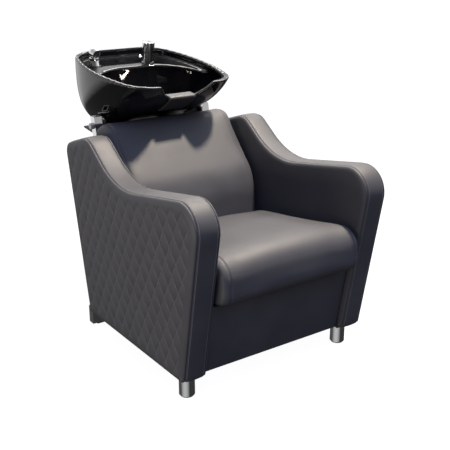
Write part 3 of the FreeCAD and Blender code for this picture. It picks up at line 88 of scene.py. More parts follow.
# Band over the front and top of an arm: its seams, crown, tuck at the seams and columns of points. It starts
# where the outline faces the back, and leaves out the sole.
BAND_LOW = ARM_INNER + PAD_THICK
BAND_HIGH = ARM_OUTER - PAD_THICK
BAND_THICK = 0.0135
BAND_CROWN = 0.0025
BAND_FOOT = 0.0765
BAND_SMOOTH_ANGLE = 50
TUCK_DEPTH = 0.004
TUCK_REACH = 0.007
BAND_STEPS = (0, 0.0012, 0.003, 0.005, 0.008, 0.014, 0.022)
BACK_FACING = 0.5
SOLE_FACING = -0.6

# Thread stitches. A stitch is four rings: place along its length, and shares of its width and its rise. Its
# crest is a share of its foot's width, and a short step ahead gives its direction.
STITCH_PITCH = 0.007
STITCH_LENGTH = 0.0048
STITCH_WIDTH = 0.0011
STITCH_RISE = 0.0006
STITCH_RINGS = ((-0.5, 0.35, -0.6), (-0.2, 1, 1), (0.2, 1, 1), (0.5, 0.35, -0.6))
STITCH_CREST = 0.6
STITCH_AHEAD = 0.001
TOPSTITCH_INSET = 0.006
TOPSTITCH_LIFT = 0.0001
QUILT_ROW_REACH = 0.9
QUILT_ROW_STEP = 0.004
QUILT_ROW_MARGIN = 0.024
QUILT_ROW_LIFT = 0.0002
SHORTEST_ROW = 5

# Cushions: mesh, swelling, seams, and the faces on which they rest. The seat's sole is a plane that falls to
# the rear. The backrest's rear is upright below its knee, and above it runs back by its lean per unit of rise.
CUSHION_VOXEL = 0.006
RELAX_SHARE = 0.5
RELAX_PASSES = 8
SWELL_FRAMES = 20
EVEN_ROUNDS = 60
FURROW_DEPTH = 0.0028
FURROW_REACH = 0.005
HELD_DEPTH = 0.012
SEAT_TILT = math.radians(8.6)
SEAT_SOLE = 0.328
SEAT_SOLE_Y = -0.56
BACK_KNEE = 0.483
BACK_LOWER_REAR = 0.05
BACK_UPPER_REAR = 0.063
BACK_LEAN = 1.1
BACK_FOOT_HELD = 0.02

# Upholstered boards.
BOARD_FLAT_ANGLE = 0.02
BOARD_EDGE = 0.006
BOARD_EDGE_SEGMENTS = 4
BOARD_SMOOTH_ANGLE = 40

# Studio: a paper floor just under the glides, and the glows of the sky. Each glow follows the closeness of a
# ray to a direction: closeness from and to, then strength from and to. The bowl's glow also fades downwards.
FLOOR_SIZE = 60
FLOOR_DROP = 0.0005
PAPER_GLOW = 1.075
PAPER_GLOW_SHARE = 0.9
RANGE = ("From Min", "From Max", "To Min", "To Max")
SKY_GLOWS = {
    "dim_front": ((-0.54, -0.77, 0.34), (-0.1, 0.8, 1.0, 0.1)),
    "feet_glow": ((-0.81, -0.5, 0.0), (0.35, 0.9, 0.04, 0.6)),
    "bowl_side": ((-0.57, 0.82, 0.0), (0.5, 0.75, 0.0, 1.0)),
    "cool_fill": ((0.0, -0.4, 0.9), (0.45, 0.98, 0.03, 2.7)),
}
BOWL_GLOW_DROP = (-0.24, -0.34, 0.85, 0.08)


# Materials

def colour(hex_code):
    """sRGB hex to linear RGBA."""
    channels = [int(hex_code[i:i + 2], 16) / 255 for i in (1, 3, 5)]
    linear = [c / 12.92 if c <= 0.04045 else ((c + 0.055) / 1.055) ** 2.4 for c in channels]
    return (*linear, 1.0)


def per_metre(millimetres):
    """Scale of a pattern, from the real size of one of its features."""
    return 1000 / millimetres


def add_node(tree, kind, settings=(), links=()):
    """One shader node with its settings, and the links into it; stops are a ramp's places and colours."""
    made = tree.nodes.new(kind)
    for name, amount in settings:
        if name == "stops":
            for stop, (place, shade) in zip(made.color_ramp.elements, amount):
                stop.position = place
                stop.color = colour(shade)
        elif isinstance(name, str) and hasattr(made, name):
            setattr(made, name, amount)
        else:
            made.inputs[name].default_value = amount
    for name, source in links:
        tree.links.new(source, made.inputs[name])
    return made


def start_material(name):
    """An empty material, its node tree, and the Object coordinates that its patterns follow."""
    material = bpy.data.materials.new(name)
    material.use_nodes = True
    tree = material.node_tree
    tree.nodes.clear()
    place = add_node(tree, "ShaderNodeTexCoord").outputs["Object"]
    return material, tree, place


def close_material(tree, settings, links):
    """The surface that the patterns feed, and the material's output."""
    surface = add_node(tree, "ShaderNodeBsdfPrincipled", settings, links)
    add_node(tree, "ShaderNodeOutputMaterial", links=[("Surface", surface.outputs[0])])


def vinyl_material():
    """Embossed PVC upholstery: a fine pebble grain, a satin skin, and a faint mottling of its gloss."""
    material, tree, place = start_material("black_upholstery_vinyl")
    # Real pebbles are about 1 mm; they are drawn at 2.2 mm so that they show.
    pebble_mm = 2.2222
    mottle_mm = 111.11
    pebble = add_node(
        tree, "ShaderNodeTexVoronoi", [("Scale", per_metre(pebble_mm)), ("feature", "SMOOTH_F1")],
        [("Vector", place)])
    mottle = add_node(
        tree, "ShaderNodeTexNoise", [("Scale", per_metre(mottle_mm)), ("Detail", 3.0)], [("Vector", place)])
    shade = add_node(
        tree, "ShaderNodeValToRGB", [("stops", ((0.3, "#333335"), (0.75, "#3a3a3c")))],
        [("Fac", mottle.outputs["Fac"])])
    gloss = add_node(
        tree, "ShaderNodeMapRange",
        [("From Min", 0.3), ("From Max", 0.7), ("To Min", 0.56), ("To Max", 0.66)],
        [("Value", mottle.outputs["Fac"])])
    grain = add_node(
        tree, "ShaderNodeBump", [("Strength", 0.25), ("Distance", 0.0004)],
        [("Height", pebble.outputs["Distance"])])
    close_material(tree, [("IOR", 1.5)], [
        ("Base Color", shade.outputs["Color"]), ("Roughness", gloss.outputs["Result"]),
        ("Normal", grain.outputs["Normal"])])
    return material


def thread_material():
    """Bonded nylon thread: charcoal, with a fine mottling from the twist of its plies."""
    material, tree, place = start_material("charcoal_nylon_thread")
    # Real plies are finer; they are drawn at 1.4 mm so that they show.
    ply_mm = 1.4286
    twist = add_node(tree, "ShaderNodeTexNoise", [("Scale", per_metre(ply_mm))], [("Vector", place)])
    shade = add_node(
        tree, "ShaderNodeValToRGB", [("stops", ((0.3, "#6a6a6e"), (0.7, "#85858a")))],
        [("Fac", twist.outputs["Fac"])])
    close_material(tree, [("Roughness", 0.55)], [("Base Color", shade.outputs["Color"])])
    return material


def timber_material():
    """Sawn pine: pale bands of early and late wood along the length."""
    material, tree, place = start_material("sawn_pine")
    band_mm = 17.857
    band_length_mm = 125
    across = per_metre(band_mm)
    along = per_metre(band_length_mm)
    stretch = add_node(tree, "ShaderNodeMapping", [("Scale", (across, along, across))], [("Vector", place)])
    rings = add_node(
        tree, "ShaderNodeTexNoise", [("Scale", 1.0), ("Detail", 6.0), ("Distortion", 1.2)],
        [("Vector", stretch.outputs["Vector"])])
    shade = add_node(
        tree, "ShaderNodeValToRGB", [("stops", ((0.35, "#b98f5c"), (0.65, "#d9b98a")))],
        [("Fac", rings.outputs["Fac"])])
    fibres = add_node(
        tree, "ShaderNodeBump", [("Strength", 0.2), ("Distance", 0.0005)], [("Height", rings.outputs["Fac"])])
    close_material(tree, [("Roughness", 0.7)], [
        ("Base Color", shade.outputs["Color"]), ("Normal", fibres.outputs["Normal"])])
    return material


def dust_cloth_material():
    """Non-woven dust cloth: black felted fibres."""
    material, tree, place = start_material("black_dust_cloth")
    # Real fibres are finer; their felt is drawn at 2 mm so that it shows.
    fibre_mm = 2.0
    fibres = add_node(
        tree, "ShaderNodeTexNoise", [("Scale", per_metre(fibre_mm)), ("Detail", 4.0)], [("Vector", place)])
    shade = add_node(
        tree, "ShaderNodeValToRGB", [("stops", ((0.3, "#141414"), (0.7, "#262626")))],
        [("Fac", fibres.outputs["Fac"])])
    close_material(tree, [("Roughness", 0.95)], [("Base Color", shade.outputs["Color"])])
    return material


def chrome_material():
    """Bright chrome plate on polished steel or brass, with faint smears in its gloss."""
    material, tree, place = start_material("polished_chrome")
    smear_mm = 40
    smear = add_node(
        tree, "ShaderNodeTexNoise", [("Scale", per_metre(smear_mm)), ("Detail", 3.0)], [("Vector", place)])
    gloss = add_node(
        tree, "ShaderNodeMapRange", [("To Min", 0.05), ("To Max", 0.16)], [("Value", smear.outputs["Fac"])])
    close_material(tree, [("Base Color", colour("#e8e9ea")), ("Metallic", 1.0)], [
        ("Roughness", gloss.outputs["Result"])])
    return material


def ceramic_material():
    """Glazed fireclay: a deep black glaze with a slight orange-peel waviness."""
    material, tree, place = start_material("black_glazed_fireclay")
    peel_mm = 16.667
    peel = add_node(
        tree, "ShaderNodeTexNoise", [("Scale", per_metre(peel_mm)), ("Detail", 1.0)], [("Vector", place)])
    shade = add_node(
        tree, "ShaderNodeValToRGB", [("stops", ((0.3, "#070708"), (0.7, "#0b0b0d")))],
        [("Fac", peel.outputs["Fac"])])
    wave = add_node(
        tree, "ShaderNodeBump", [("Strength", 0.05), ("Distance", 0.0006)], [("Height", peel.outputs["Fac"])])
    close_material(tree, [("Roughness", 0.05), ("IOR", 1.52)], [
        ("Base Color", shade.outputs["Color"]), ("Normal", wave.outputs["Normal"])])
    return material


def moulded_material(name, low, high, rough, grit_mm):
    """Moulded rubber or plastic: a matt skin with the texture of its mould, drawn coarse so that it shows."""
    material, tree, place = start_material(name)
    texture = add_node(
        tree, "ShaderNodeTexNoise", [("Scale", per_metre(grit_mm)), ("Detail", 2.0)], [("Vector", place)])
    shade = add_node(
        tree, "ShaderNodeValToRGB", [("stops", ((0.3, low), (0.7, high)))], [("Fac", texture.outputs["Fac"])])
    skin = add_node(
        tree, "ShaderNodeBump", [("Strength", 0.15), ("Distance", 0.0003)],
        [("Height", texture.outputs["Fac"])])
    close_material(tree, [("Roughness", rough)], [
        ("Base Color", shade.outputs["Color"]), ("Normal", skin.outputs["Normal"])])
    return material


def coated_material(name, low, high, metallic, rough, grit_mm):
    """Coated or plated steel: slight spangle in colour and gloss."""
    material, tree, place = start_material(name)
    gloss_spread = 0.08
    spangle = add_node(
        tree, "ShaderNodeTexNoise", [("Scale", per_metre(grit_mm)), ("Detail", 4.0)], [("Vector", place)])
    shade = add_node(
        tree, "ShaderNodeValToRGB", [("stops", ((0.3, low), (0.7, high)))], [("Fac", spangle.outputs["Fac"])])
    gloss = add_node(
        tree, "ShaderNodeMapRange", [("To Min", rough - gloss_spread), ("To Max", rough + gloss_spread)],
        [("Value", spangle.outputs["Fac"])])
    close_material(tree, [("Metallic", metallic)], [
        ("Base Color", shade.outputs["Color"]), ("Roughness", gloss.outputs["Result"])])
    return material


THREAD = thread_material()
MATERIALS = {
    "vinyl": vinyl_material(),
    "timber": timber_material(),
    "dust_cloth": dust_cloth_material(),
    "chrome": chrome_material(),
    "glazed_ceramic": ceramic_material(),
    "black_rubber": moulded_material("soft_black_rubber", "#1a1a1c", "#232326", rough=0.5, grit_mm=4),
    "black_plastic": moulded_material("black_nylon", "#161617", "#1f1f20", rough=0.45, grit_mm=3),
    "black_steel": coated_material(
        "black_powder_coat", "#151516", "#1e1e20", metallic=0.0, rough=0.5, grit_mm=3),
    "plain_steel": coated_material(
        "zinc_plated_steel", "#9b9da0", "#b7b9bb", metallic=1.0, rough=0.32, grit_mm=6),
}
slot_of = {row["node"]: row["material_slot"] for row in frame["record"]["subparts"]}
for node_name, node_object in frame["nodes"].items():
    node_object.data.materials.clear()
    node_object.data.materials.append(MATERIALS[slot_of[node_name]])


# Shared mesh work

def select_only(piece):
    """Make a piece the one that operators act on."""
    bpy.ops.object.select_all(action="DESELECT")
    bpy.context.view_layer.objects.active = piece
    piece.select_set(True)


def apply_modifier(piece, kind, **settings):
    """Add a modifier to the selected piece and apply it."""
    modifier = piece.modifiers.new(kind.lower(), kind)
    for name, amount in settings.items():
        setattr(modifier, name, amount)
    bpy.ops.object.modifier_apply(modifier=modifier.name)


def merged_copy(name, node):
    """A copy of a node as one selected object, its loose triangles merged."""
    piece = bpy.data.objects.new(name, frame["nodes"][node].data.copy())
    scene.collection.objects.link(piece)
    select_only(piece)
    bpy.ops.object.mode_set(mode="EDIT")
    bpy.ops.mesh.select_all(action="SELECT")
    bpy.ops.mesh.remove_doubles(threshold=MERGE_DISTANCE)
    bpy.ops.object.mode_set(mode="OBJECT")
    return piece


def even_copy(name, node, voxel, passes):
    """A merged copy of a node, evenly meshed and with its edges rounded."""
    piece = merged_copy(name, node)
    apply_modifier(piece, "REMESH", mode="VOXEL", voxel_size=voxel)
    apply_modifier(piece, "SMOOTH", factor=RELAX_SHARE, iterations=passes)
    return piece


def join_rings(work, rings):
    """Faces from each ring of points to the next."""
    count = len(rings[0])
    for low, high in zip(rings, rings[1:]):
        for index in range(count):
            after = (index + 1) % count
            work.faces.new((low[index], low[after], high[after], high[index]))


def add_piece(name, work):
    """An object made from a bmesh, its faces turned outwards."""
    bmesh.ops.recalc_face_normals(work, faces=work.faces)
    mesh = bpy.data.meshes.new(name)
    work.to_mesh(mesh)
    work.free()
    piece = bpy.data.objects.new(name, mesh)
    scene.collection.objects.link(piece)
    return piece


def stand_in(piece, node, body, slot):
    """Put a piece in the place of its CAD node, on the node's body and in its material."""
    piece.data.materials.clear()
    piece.data.materials.append(MATERIALS[slot])
    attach(piece, body)
    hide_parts(node)


def upholster(piece, node, smooth_angle=None):
    """Finish a padded vinyl piece; edges sharper than the angle stay sharp."""
    piece.data.shade_smooth()
    if smooth_angle:
        select_only(piece)
        bpy.ops.object.shade_smooth_by_angle(angle=math.radians(smooth_angle))
    stand_in(piece, node, "chair", "vinyl")


def points_of(mesh, what="co"):
    """A mesh's points, or their normals, as rows."""
    rows = np.empty(len(mesh.vertices) * 3)
    mesh.vertices.foreach_get(what, rows)
    return rows.reshape(-1, 3)


def smooth_step(value, low, high):
    """From 0 at low to 1 at high, level at both ends."""
    share = np.clip((value - low) / (high - low), 0, 1)
    return share * share * (3 - 2 * share)


def rounded_outline(corners, rounding, step):
    """Points and outward normals round a closed (y, z) outline that runs anticlockwise."""
    arcs = []
    count = len(corners)
    for index in range(count):
        corner = Vector(corners[index])
        into = (corner - Vector(corners[index - 1])).normalized()
        out = (Vector(corners[(index + 1) % count]) - corner).normalized()
        side = 1 if into.x * out.y - into.y * out.x > 0 else -1
        turn = into.angle(out)
        radius = rounding[index]
        start = Vector((into.y, -into.x)) * side
        centre = corner - into * radius * math.tan(turn / 2) - start * radius
        pieces = max(3, math.ceil(radius * turn / step))
        arc = []
        for piece in range(pieces + 1):
            spoke = Matrix.Rotation(side * turn * piece / pieces, 2) @ start
            arc.append((centre + spoke * radius, spoke * side))
        arcs.append(arc)
    spots = []
    for index in range(count):
        spots += arcs[index]
        first, normal = arcs[index][-1]
        last = arcs[(index + 1) % count][0][0]
        pieces = max(1, math.ceil((last - first).length / step))
        spots += [(first.lerp(last, piece / pieces), normal) for piece in range(1, pieces)]
    return spots


def edge_distance(points, outline):
    """Distance of (y, z) points from a closed outline."""
    starts = np.array([tuple(spot) for spot, normal in outline])
    runs = np.roll(starts, -1, axis=0) - starts
    best = np.full(len(points), np.inf)
    for start, run in zip(starts, runs):
        away = points - start
        share = np.clip(away @ run / max(run @ run, TINY), 0, 1)
        best = np.minimum(best, np.linalg.norm(away - share[:, None] * run, axis=1))
    return best


def inside_outline(points, outline):
    """Whether (y, z) points lie inside a closed outline."""
    shape = np.array([tuple(spot) for spot, normal in outline])
    inside = np.zeros(len(points), bool)
    for start, end in zip(shape, np.roll(shape, -1, axis=0)):
        crosses = (start[1] > points[:, 1]) != (end[1] > points[:, 1])
        share = (points[:, 1] - start[1]) / (end[1] - start[1] + TINY)
        inside ^= crosses & (points[:, 0] < start[0] + share * (end[0] - start[0]))
    return inside


# Arms

arm_outline = rounded_outline(ARM_CORNERS, ARM_ROUNDING, OUTLINE_STEP)
pad_outline = [(spot - normal * SEAM_GAP, normal) for spot, normal in arm_outline]


def pad_swell(points, depth):
    """Height of the quilted pad over its flat: domes between the stitched lines, flat along the edge."""
    dome = 1
    for slant, first in QUILT_FAMILIES:
        lines = (points[:, 0] - first - (points[:, 1] - QUILT_FOOT) / math.tan(slant)) / QUILT_SPACING
        dome = dome * np.abs(np.sin(np.pi * lines))
    quilt = QUILT_SWELL * dome ** 0.5 - QUILT_SWELL / 2
    return quilt * smooth_step(depth, *QUILT_FADE) + PAD_CROWN * smooth_step(depth, *QUILTED_CROWN_FADE)


def cut_along_lines(work, face, cuts):
    """Cut a face along the lines of both families, and at the given shares of the way to the next line."""
    geometry = [face, *face.edges, *face.verts]
    for slant, first in QUILT_FAMILIES:
        across = Vector((0, math.sin(slant), -math.cos(slant)))
        for line in range(QUILT_LINES):
            for share in cuts:
                spot = Vector((0, first + (line + share) * QUILT_SPACING, QUILT_FOOT))
                cut = bmesh.ops.bisect_plane(
                    work, geom=geometry, plane_co=spot, plane_no=across, dist=CUT_TOLERANCE)
                geometry = cut["geom"]


def arm_pad(name, node, side, face, quilted):
    """A pad on the flat of an arm: rolled at its edges, and quilted in diamonds on the outside."""
    outward = 1 if quilted else -1
    work = bmesh.new()
    rings = []
    for inset in ROLL_INSETS:
        rings.append([work.verts.new((0, *(spot - normal * inset))) for spot, normal in pad_outline])
    join_rings(work, rings)
    # The smooth pad is cut along the lines alone, which gives its flat the points for a crown.
    cut_along_lines(work, work.faces.new(rings[-1]), QUILT_CUTS if quilted else QUILT_CUTS[:1])
    points = np.array([(vert.co.y, vert.co.z) for vert in work.verts])
    depth = edge_distance(points, pad_outline)
    roll = PAD_ROLL * (1 - np.sqrt(np.clip(1 - (1 - np.minimum(depth / ROLL_REACH, 1)) ** 2, 0, 1)))
    swell = pad_swell(points, depth) if quilted else PAD_CROWN * smooth_step(depth, *SMOOTH_CROWN_FADE)
    heights = face + outward * (swell - roll)
    for vert, height in zip(work.verts, heights):
        vert.co.x = side * height
    rim = [edge for edge in work.edges if edge.is_boundary]
    for skirt in bmesh.ops.extrude_edge_only(work, edges=rim)["geom"]:
        if isinstance(skirt, bmesh.types.BMVert):
            skirt.co.x = side * (face - outward * PAD_THICK)
    bmesh.ops.holes_fill(work, edges=[edge for edge in work.edges if edge.is_boundary])
    upholster(add_piece(name, work), node)


def band_path():
    """The part of the arm's outline that the band covers: up the back, over the top and down the front."""
    start = next(i for i, (spot, normal) in enumerate(arm_outline) if normal.x > BACK_FACING)
    turned = arm_outline[start:] + arm_outline[:start]
    return [(spot, normal) for spot, normal in turned if normal.y > SOLE_FACING]


def band_height(across):
    """Crown of the band, and its tuck into the seams; across runs from seam to seam."""
    from_seam = min(across - BAND_LOW, BAND_HIGH - across)
    share = (2 * across - BAND_LOW - BAND_HIGH) / (BAND_HIGH - BAND_LOW)
    tuck = max(0, 1 - from_seam / TUCK_REACH)
    return BAND_CROWN * (1 - share ** 2) - TUCK_DEPTH * tuck ** 2


def arm_band(name, node, side):
    """The smooth band between the two pads of an arm, swept along its path."""
    columns = [BAND_LOW + step for step in BAND_STEPS]
    columns += [(BAND_LOW + BAND_HIGH) / 2] + [BAND_LOW + BAND_HIGH - x for x in columns[::-1]]
    section = [(x, band_height(x)) for x in columns] + [(BAND_HIGH, -BAND_THICK), (BAND_LOW, -BAND_THICK)]
    work = bmesh.new()
    rings = []
    for spot, normal in band_path():
        ring = []
        for x, height in section:
            point = spot + normal * height
            ring.append(work.verts.new((side * x, point.x, max(point.y, BAND_FOOT))))
        rings.append(ring)
    join_rings(work, rings)
    work.faces.new(rings[0])
    work.faces.new(rings[-1])
    upholster(add_piece(name, work), node, BAND_SMOOTH_ANGLE)


def point_along(at, along, rows):
    """The row at a length along a seam, between the rows that are given."""
    return Vector([np.interp(at, along, rows[:, axis]) for axis in range(3)])


def sewn_rows(name, rows):
    """Rows of small thread stitches; a row is a list of (place, normal) along its seam."""
    work = bmesh.new()
    for row in rows:
        places = np.array([tuple(place) for place, normal in row])
        normals = np.array([tuple(normal) for place, normal in row])
        steps = np.linalg.norm(np.diff(places, axis=0), axis=1)
        along = np.concatenate(([0.0], np.cumsum(steps)))
        for middle in np.arange(STITCH_PITCH, along[-1] - STITCH_PITCH, STITCH_PITCH):
            rings = []
            for share, width, rise in STITCH_RINGS:
                at = middle + share * STITCH_LENGTH
                spot = point_along(at, along, places)
                ahead = point_along(at + STITCH_AHEAD, along, places)
                normal = point_along(at, along, normals).normalized()
                across = (ahead - spot).cross(normal).normalized() * STITCH_WIDTH / 2 * width
                crest = spot + normal * STITCH_RISE * rise
                foot = spot - normal * STITCH_RISE
                inner = across * STITCH_CREST
                corners = (foot - across, crest - inner, crest + inner, foot + across)
                rings.append([work.verts.new(corner) for corner in corners])
            join_rings(work, rings)
            work.faces.new(rings[0])
            work.faces.new(rings[-1])
    piece = add_piece(name, work)
    piece.data.materials.append(THREAD)
    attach(piece, "chair")


def band_rows(side):
    """Topstitching on the band, a foot's width inside each seam."""
    rows = []
    for across in (BAND_LOW + TOPSTITCH_INSET, BAND_HIGH - TOPSTITCH_INSET):
        row = []
        for spot, normal in band_path():
            point = spot + normal * (band_height(across) + TOPSTITCH_LIFT)
            row.append((Vector((side * across, point.x, point.y)), Vector((0, normal.x, normal.y))))
        rows.append(row)
    return rows


def quilt_rows(side):
    """The stitched lines of the quilting, in the furrows of the outer pad."""
    rows = []
    for slant, first in QUILT_FAMILIES:
        heading = np.array((math.cos(slant), math.sin(slant)))
        reach = np.arange(0, QUILT_ROW_REACH, QUILT_ROW_STEP) * (1 if slant > 0 else -1)
        for line in range(QUILT_LINES):
            start = np.array((first + line * QUILT_SPACING, QUILT_FOOT))
            points = start + reach[:, None] * heading
            depth = edge_distance(points, pad_outline)
            kept = inside_outline(points, pad_outline) & (depth > QUILT_ROW_MARGIN)
            heights = ARM_OUTER + pad_swell(points, depth) + QUILT_ROW_LIFT
            run = []
            for point, height, keep in zip(points, heights, kept):
                if keep:
                    run.append((Vector((side * height, *point)), Vector((side, 0, 0))))
                elif run:
                    rows.append(run)
                    run = []
    return [row for row in rows if len(row) >= SHORTEST_ROW]


for side, word in ((1, "left"), (-1, "right")):
    arm_pad("quilted_pad_" + word, "arm_outer_pad_" + word, side, ARM_OUTER, quilted=True)
    arm_pad("smooth_pad_" + word, "arm_inner_pad_" + word, side, ARM_INNER, quilted=False)
    arm_band("band_cover_" + word, "arm_band_" + word, side)
    sewn_rows("band_stitches_" + word, band_rows(side))
    sewn_rows("quilt_stitches_" + word, quilt_rows(side))


# Cushions

def even_out(mesh, moved, still):
    """Spread the points' movements over about 30 mm, so that the cover swells without creases."""
    ends = np.empty(len(mesh.edges) * 2, dtype=np.int64)
    mesh.edges.foreach_get("vertices", ends)
    first, second = ends.reshape(-1, 2).T
    count = len(moved)
    degree = np.maximum(1, np.bincount(ends, minlength=count))
    for _ in range(EVEN_ROUNDS):
        around = np.empty_like(moved)
        for axis in range(3):
            onto_first = np.bincount(first, moved[second, axis], count)
            onto_second = np.bincount(second, moved[first, axis], count)
            around[:, axis] = (onto_first + onto_second) / degree
        moved = (moved + around) / 2
        moved[still] = 0
    return moved


def swell_cushion(piece, held, cap):
    """Blow the cover up by a short cloth simulation; held points stay, and no point moves beyond the cap."""
    mesh = piece.data
    places = points_of(mesh)
    still = held(places)
    group = piece.vertex_groups.new(name="held")
    group.add(np.nonzero(still)[0].tolist(), 1.0, "REPLACE")
    cloth = piece.modifiers.new("swell", "CLOTH")
    cloth.settings.quality = 5
    cloth.settings.mass = 0.3
    cloth.settings.tension_stiffness = 12
    cloth.settings.compression_stiffness = 12
    cloth.settings.bending_stiffness = 0.8
    cloth.settings.use_pressure = True
    cloth.settings.uniform_pressure_force = 4.0
    cloth.settings.effector_weights.gravity = 0.0
    cloth.settings.vertex_group_mass = "held"
    cloth.point_cache.frame_start = 1
    cloth.point_cache.frame_end = SWELL_FRAMES
    for step in range(1, SWELL_FRAMES + 1):
        scene.frame_set(step)
    blown = piece.evaluated_get(bpy.context.evaluated_depsgraph_get()).data
    moved = points_of(blown) - places
    length = np.linalg.norm(moved, axis=1, keepdims=True)
    capped = moved * np.minimum(1, cap / np.maximum(length, TINY))
    places = places + even_out(mesh, capped, still)
    piece.modifiers.remove(cloth)
    scene.frame_set(1)
    piece.vertex_groups.clear()
    mesh.vertices.foreach_set("co", places.ravel())
    mesh.update()
    apply_modifier(piece, "SUBSURF", levels=1, render_levels=1)


def sew_seams(piece, seam_x, limit):
    """Side seams round the cushion: shallow furrows, and the sides kept off the arms."""
    mesh = piece.data
    places = points_of(mesh)
    normals = points_of(mesh, "normal")
    away = np.abs(np.abs(places[:, 0]) - seam_x)
    furrow = FURROW_DEPTH * np.maximum(0, 1 - (away / FURROW_REACH) ** 2) ** 2
    facing = 1 - np.clip(np.abs(normals[:, 0]), 0, 1)
    places = places - normals * (furrow * facing)[:, None]
    places[:, 0] = np.clip(places[:, 0], -limit, limit)
    mesh.vertices.foreach_set("co", places.ravel())
    mesh.update()


def dress_cushion(name, node, held, cap, seam_x, limit):
    """A swollen cover with side seams, in place of a cushion's solid."""
    piece = even_copy(name, node, CUSHION_VOXEL, RELAX_PASSES)
    swell_cushion(piece, held, cap)
    sew_seams(piece, seam_x, limit)
    upholster(piece, node)


seat_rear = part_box("seat_cushion")[1].y
back_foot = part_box("backrest_cushion")[0].z


def seat_held(points):
    """The seat stays flat where it lies on its board, and where it meets the backrest."""
    sole = SEAT_SOLE - (points[:, 1] - SEAT_SOLE_Y) * math.tan(SEAT_TILT)
    return (points[:, 2] < sole + HELD_DEPTH) | (points[:, 1] > seat_rear - HELD_DEPTH)


def back_held(points):
    """The backrest stays flat along its rear face, on its board, and at its foot."""
    above = points[:, 2] - BACK_KNEE
    rear = np.where(above < 0, BACK_LOWER_REAR, BACK_UPPER_REAR + above * BACK_LEAN)
    return (points[:, 1] > rear - HELD_DEPTH) | (points[:, 2] < back_foot + BACK_FOOT_HELD)


dress_cushion(
    "seat_cover", "seat_cushion", seat_held, cap=0.007, seam_x=0.240, limit=0.2708)
dress_cushion(
    "backrest_cover", "backrest_cushion", back_held, cap=0.006, seam_x=0.232, limit=0.2660)


# Upholstered boards

def dress_board(name, node):
    """A board wrapped in thinly padded vinyl, with soft edges."""
    piece = merged_copy(name, node)
    bpy.ops.object.mode_set(mode="EDIT")
    bpy.ops.mesh.select_all(action="SELECT")
    bpy.ops.mesh.dissolve_limited(angle_limit=BOARD_FLAT_ANGLE)
    bpy.ops.mesh.select_all(action="SELECT")
    bpy.ops.mesh.bevel(offset=BOARD_EDGE, segments=BOARD_EDGE_SEGMENTS, affect="EDGES")
    bpy.ops.object.mode_set(mode="OBJECT")
    upholster(piece, node, BOARD_SMOOTH_ANGLE)


dress_board("front_panel_cover", "front_panel")
dress_board("rear_panel_cover", "rear_panel")


# Rounded rigid pieces: the cast bowl and the moulded neck rest have no sharp edges.

def round_over(name, node, voxel, passes, body, slot):
    """A copy of a node with its edges rounded, in place of the node."""
    piece = even_copy(name, node, voxel, passes)
    piece.data.shade_smooth()
    stand_in(piece, node, body, slot)


round_over("cast_bowl", "bowl", voxel=0.00395, passes=13, body="bowl_unit", slot="glazed_ceramic")
round_over("moulded_neck_rest", "neck_rest", voxel=0.0022, passes=8, body="bowl_unit", slot="black_rubber")


# Floor, light and camera

def paper_material():
    """Studio paper: white to the eye, with a pale shadow, and dull in the light that it returns."""
    paper = bpy.data.materials.new("white_studio_paper")
    paper.use_nodes = True
    tree = paper.node_tree
    tree.nodes.clear()
    rays = add_node(tree, "ShaderNodeLightPath")
    pale = add_node(tree, "ShaderNodeBsdfDiffuse", [("Color", colour("#f2f2f2"))])
    white = add_node(tree, "ShaderNodeEmission", [("Color", colour("#ffffff")), ("Strength", PAPER_GLOW)])
    seen = add_node(
        tree, "ShaderNodeMixShader", [(0, PAPER_GLOW_SHARE)], [(1, pale.outputs[0]), (2, white.outputs[0])])
    dull = add_node(tree, "ShaderNodeBsdfDiffuse", [("Color", colour("#5a5a5a"))])
    surface = add_node(
        tree, "ShaderNodeMixShader",
        links=[(0, rays.outputs["Is Camera Ray"]), (1, dull.outputs[0]), (2, seen.outputs[0])])
    add_node(tree, "ShaderNodeOutputMaterial", links=[("Surface", surface.outputs[0])])
    return paper


bpy.ops.object.select_all(action="DESELECT")
bpy.ops.mesh.primitive_plane_add(size=FLOOR_SIZE, location=(0, 0, -FLOOR_DROP))
floor = bpy.context.object
floor.name = "studio_floor"
bpy.ops.object.transform_apply(location=True, rotation=True, scale=True)
floor.data.materials.append(paper_material())
# Mirrors look through the floor at the sky's lower half.
floor.visible_glossy = False


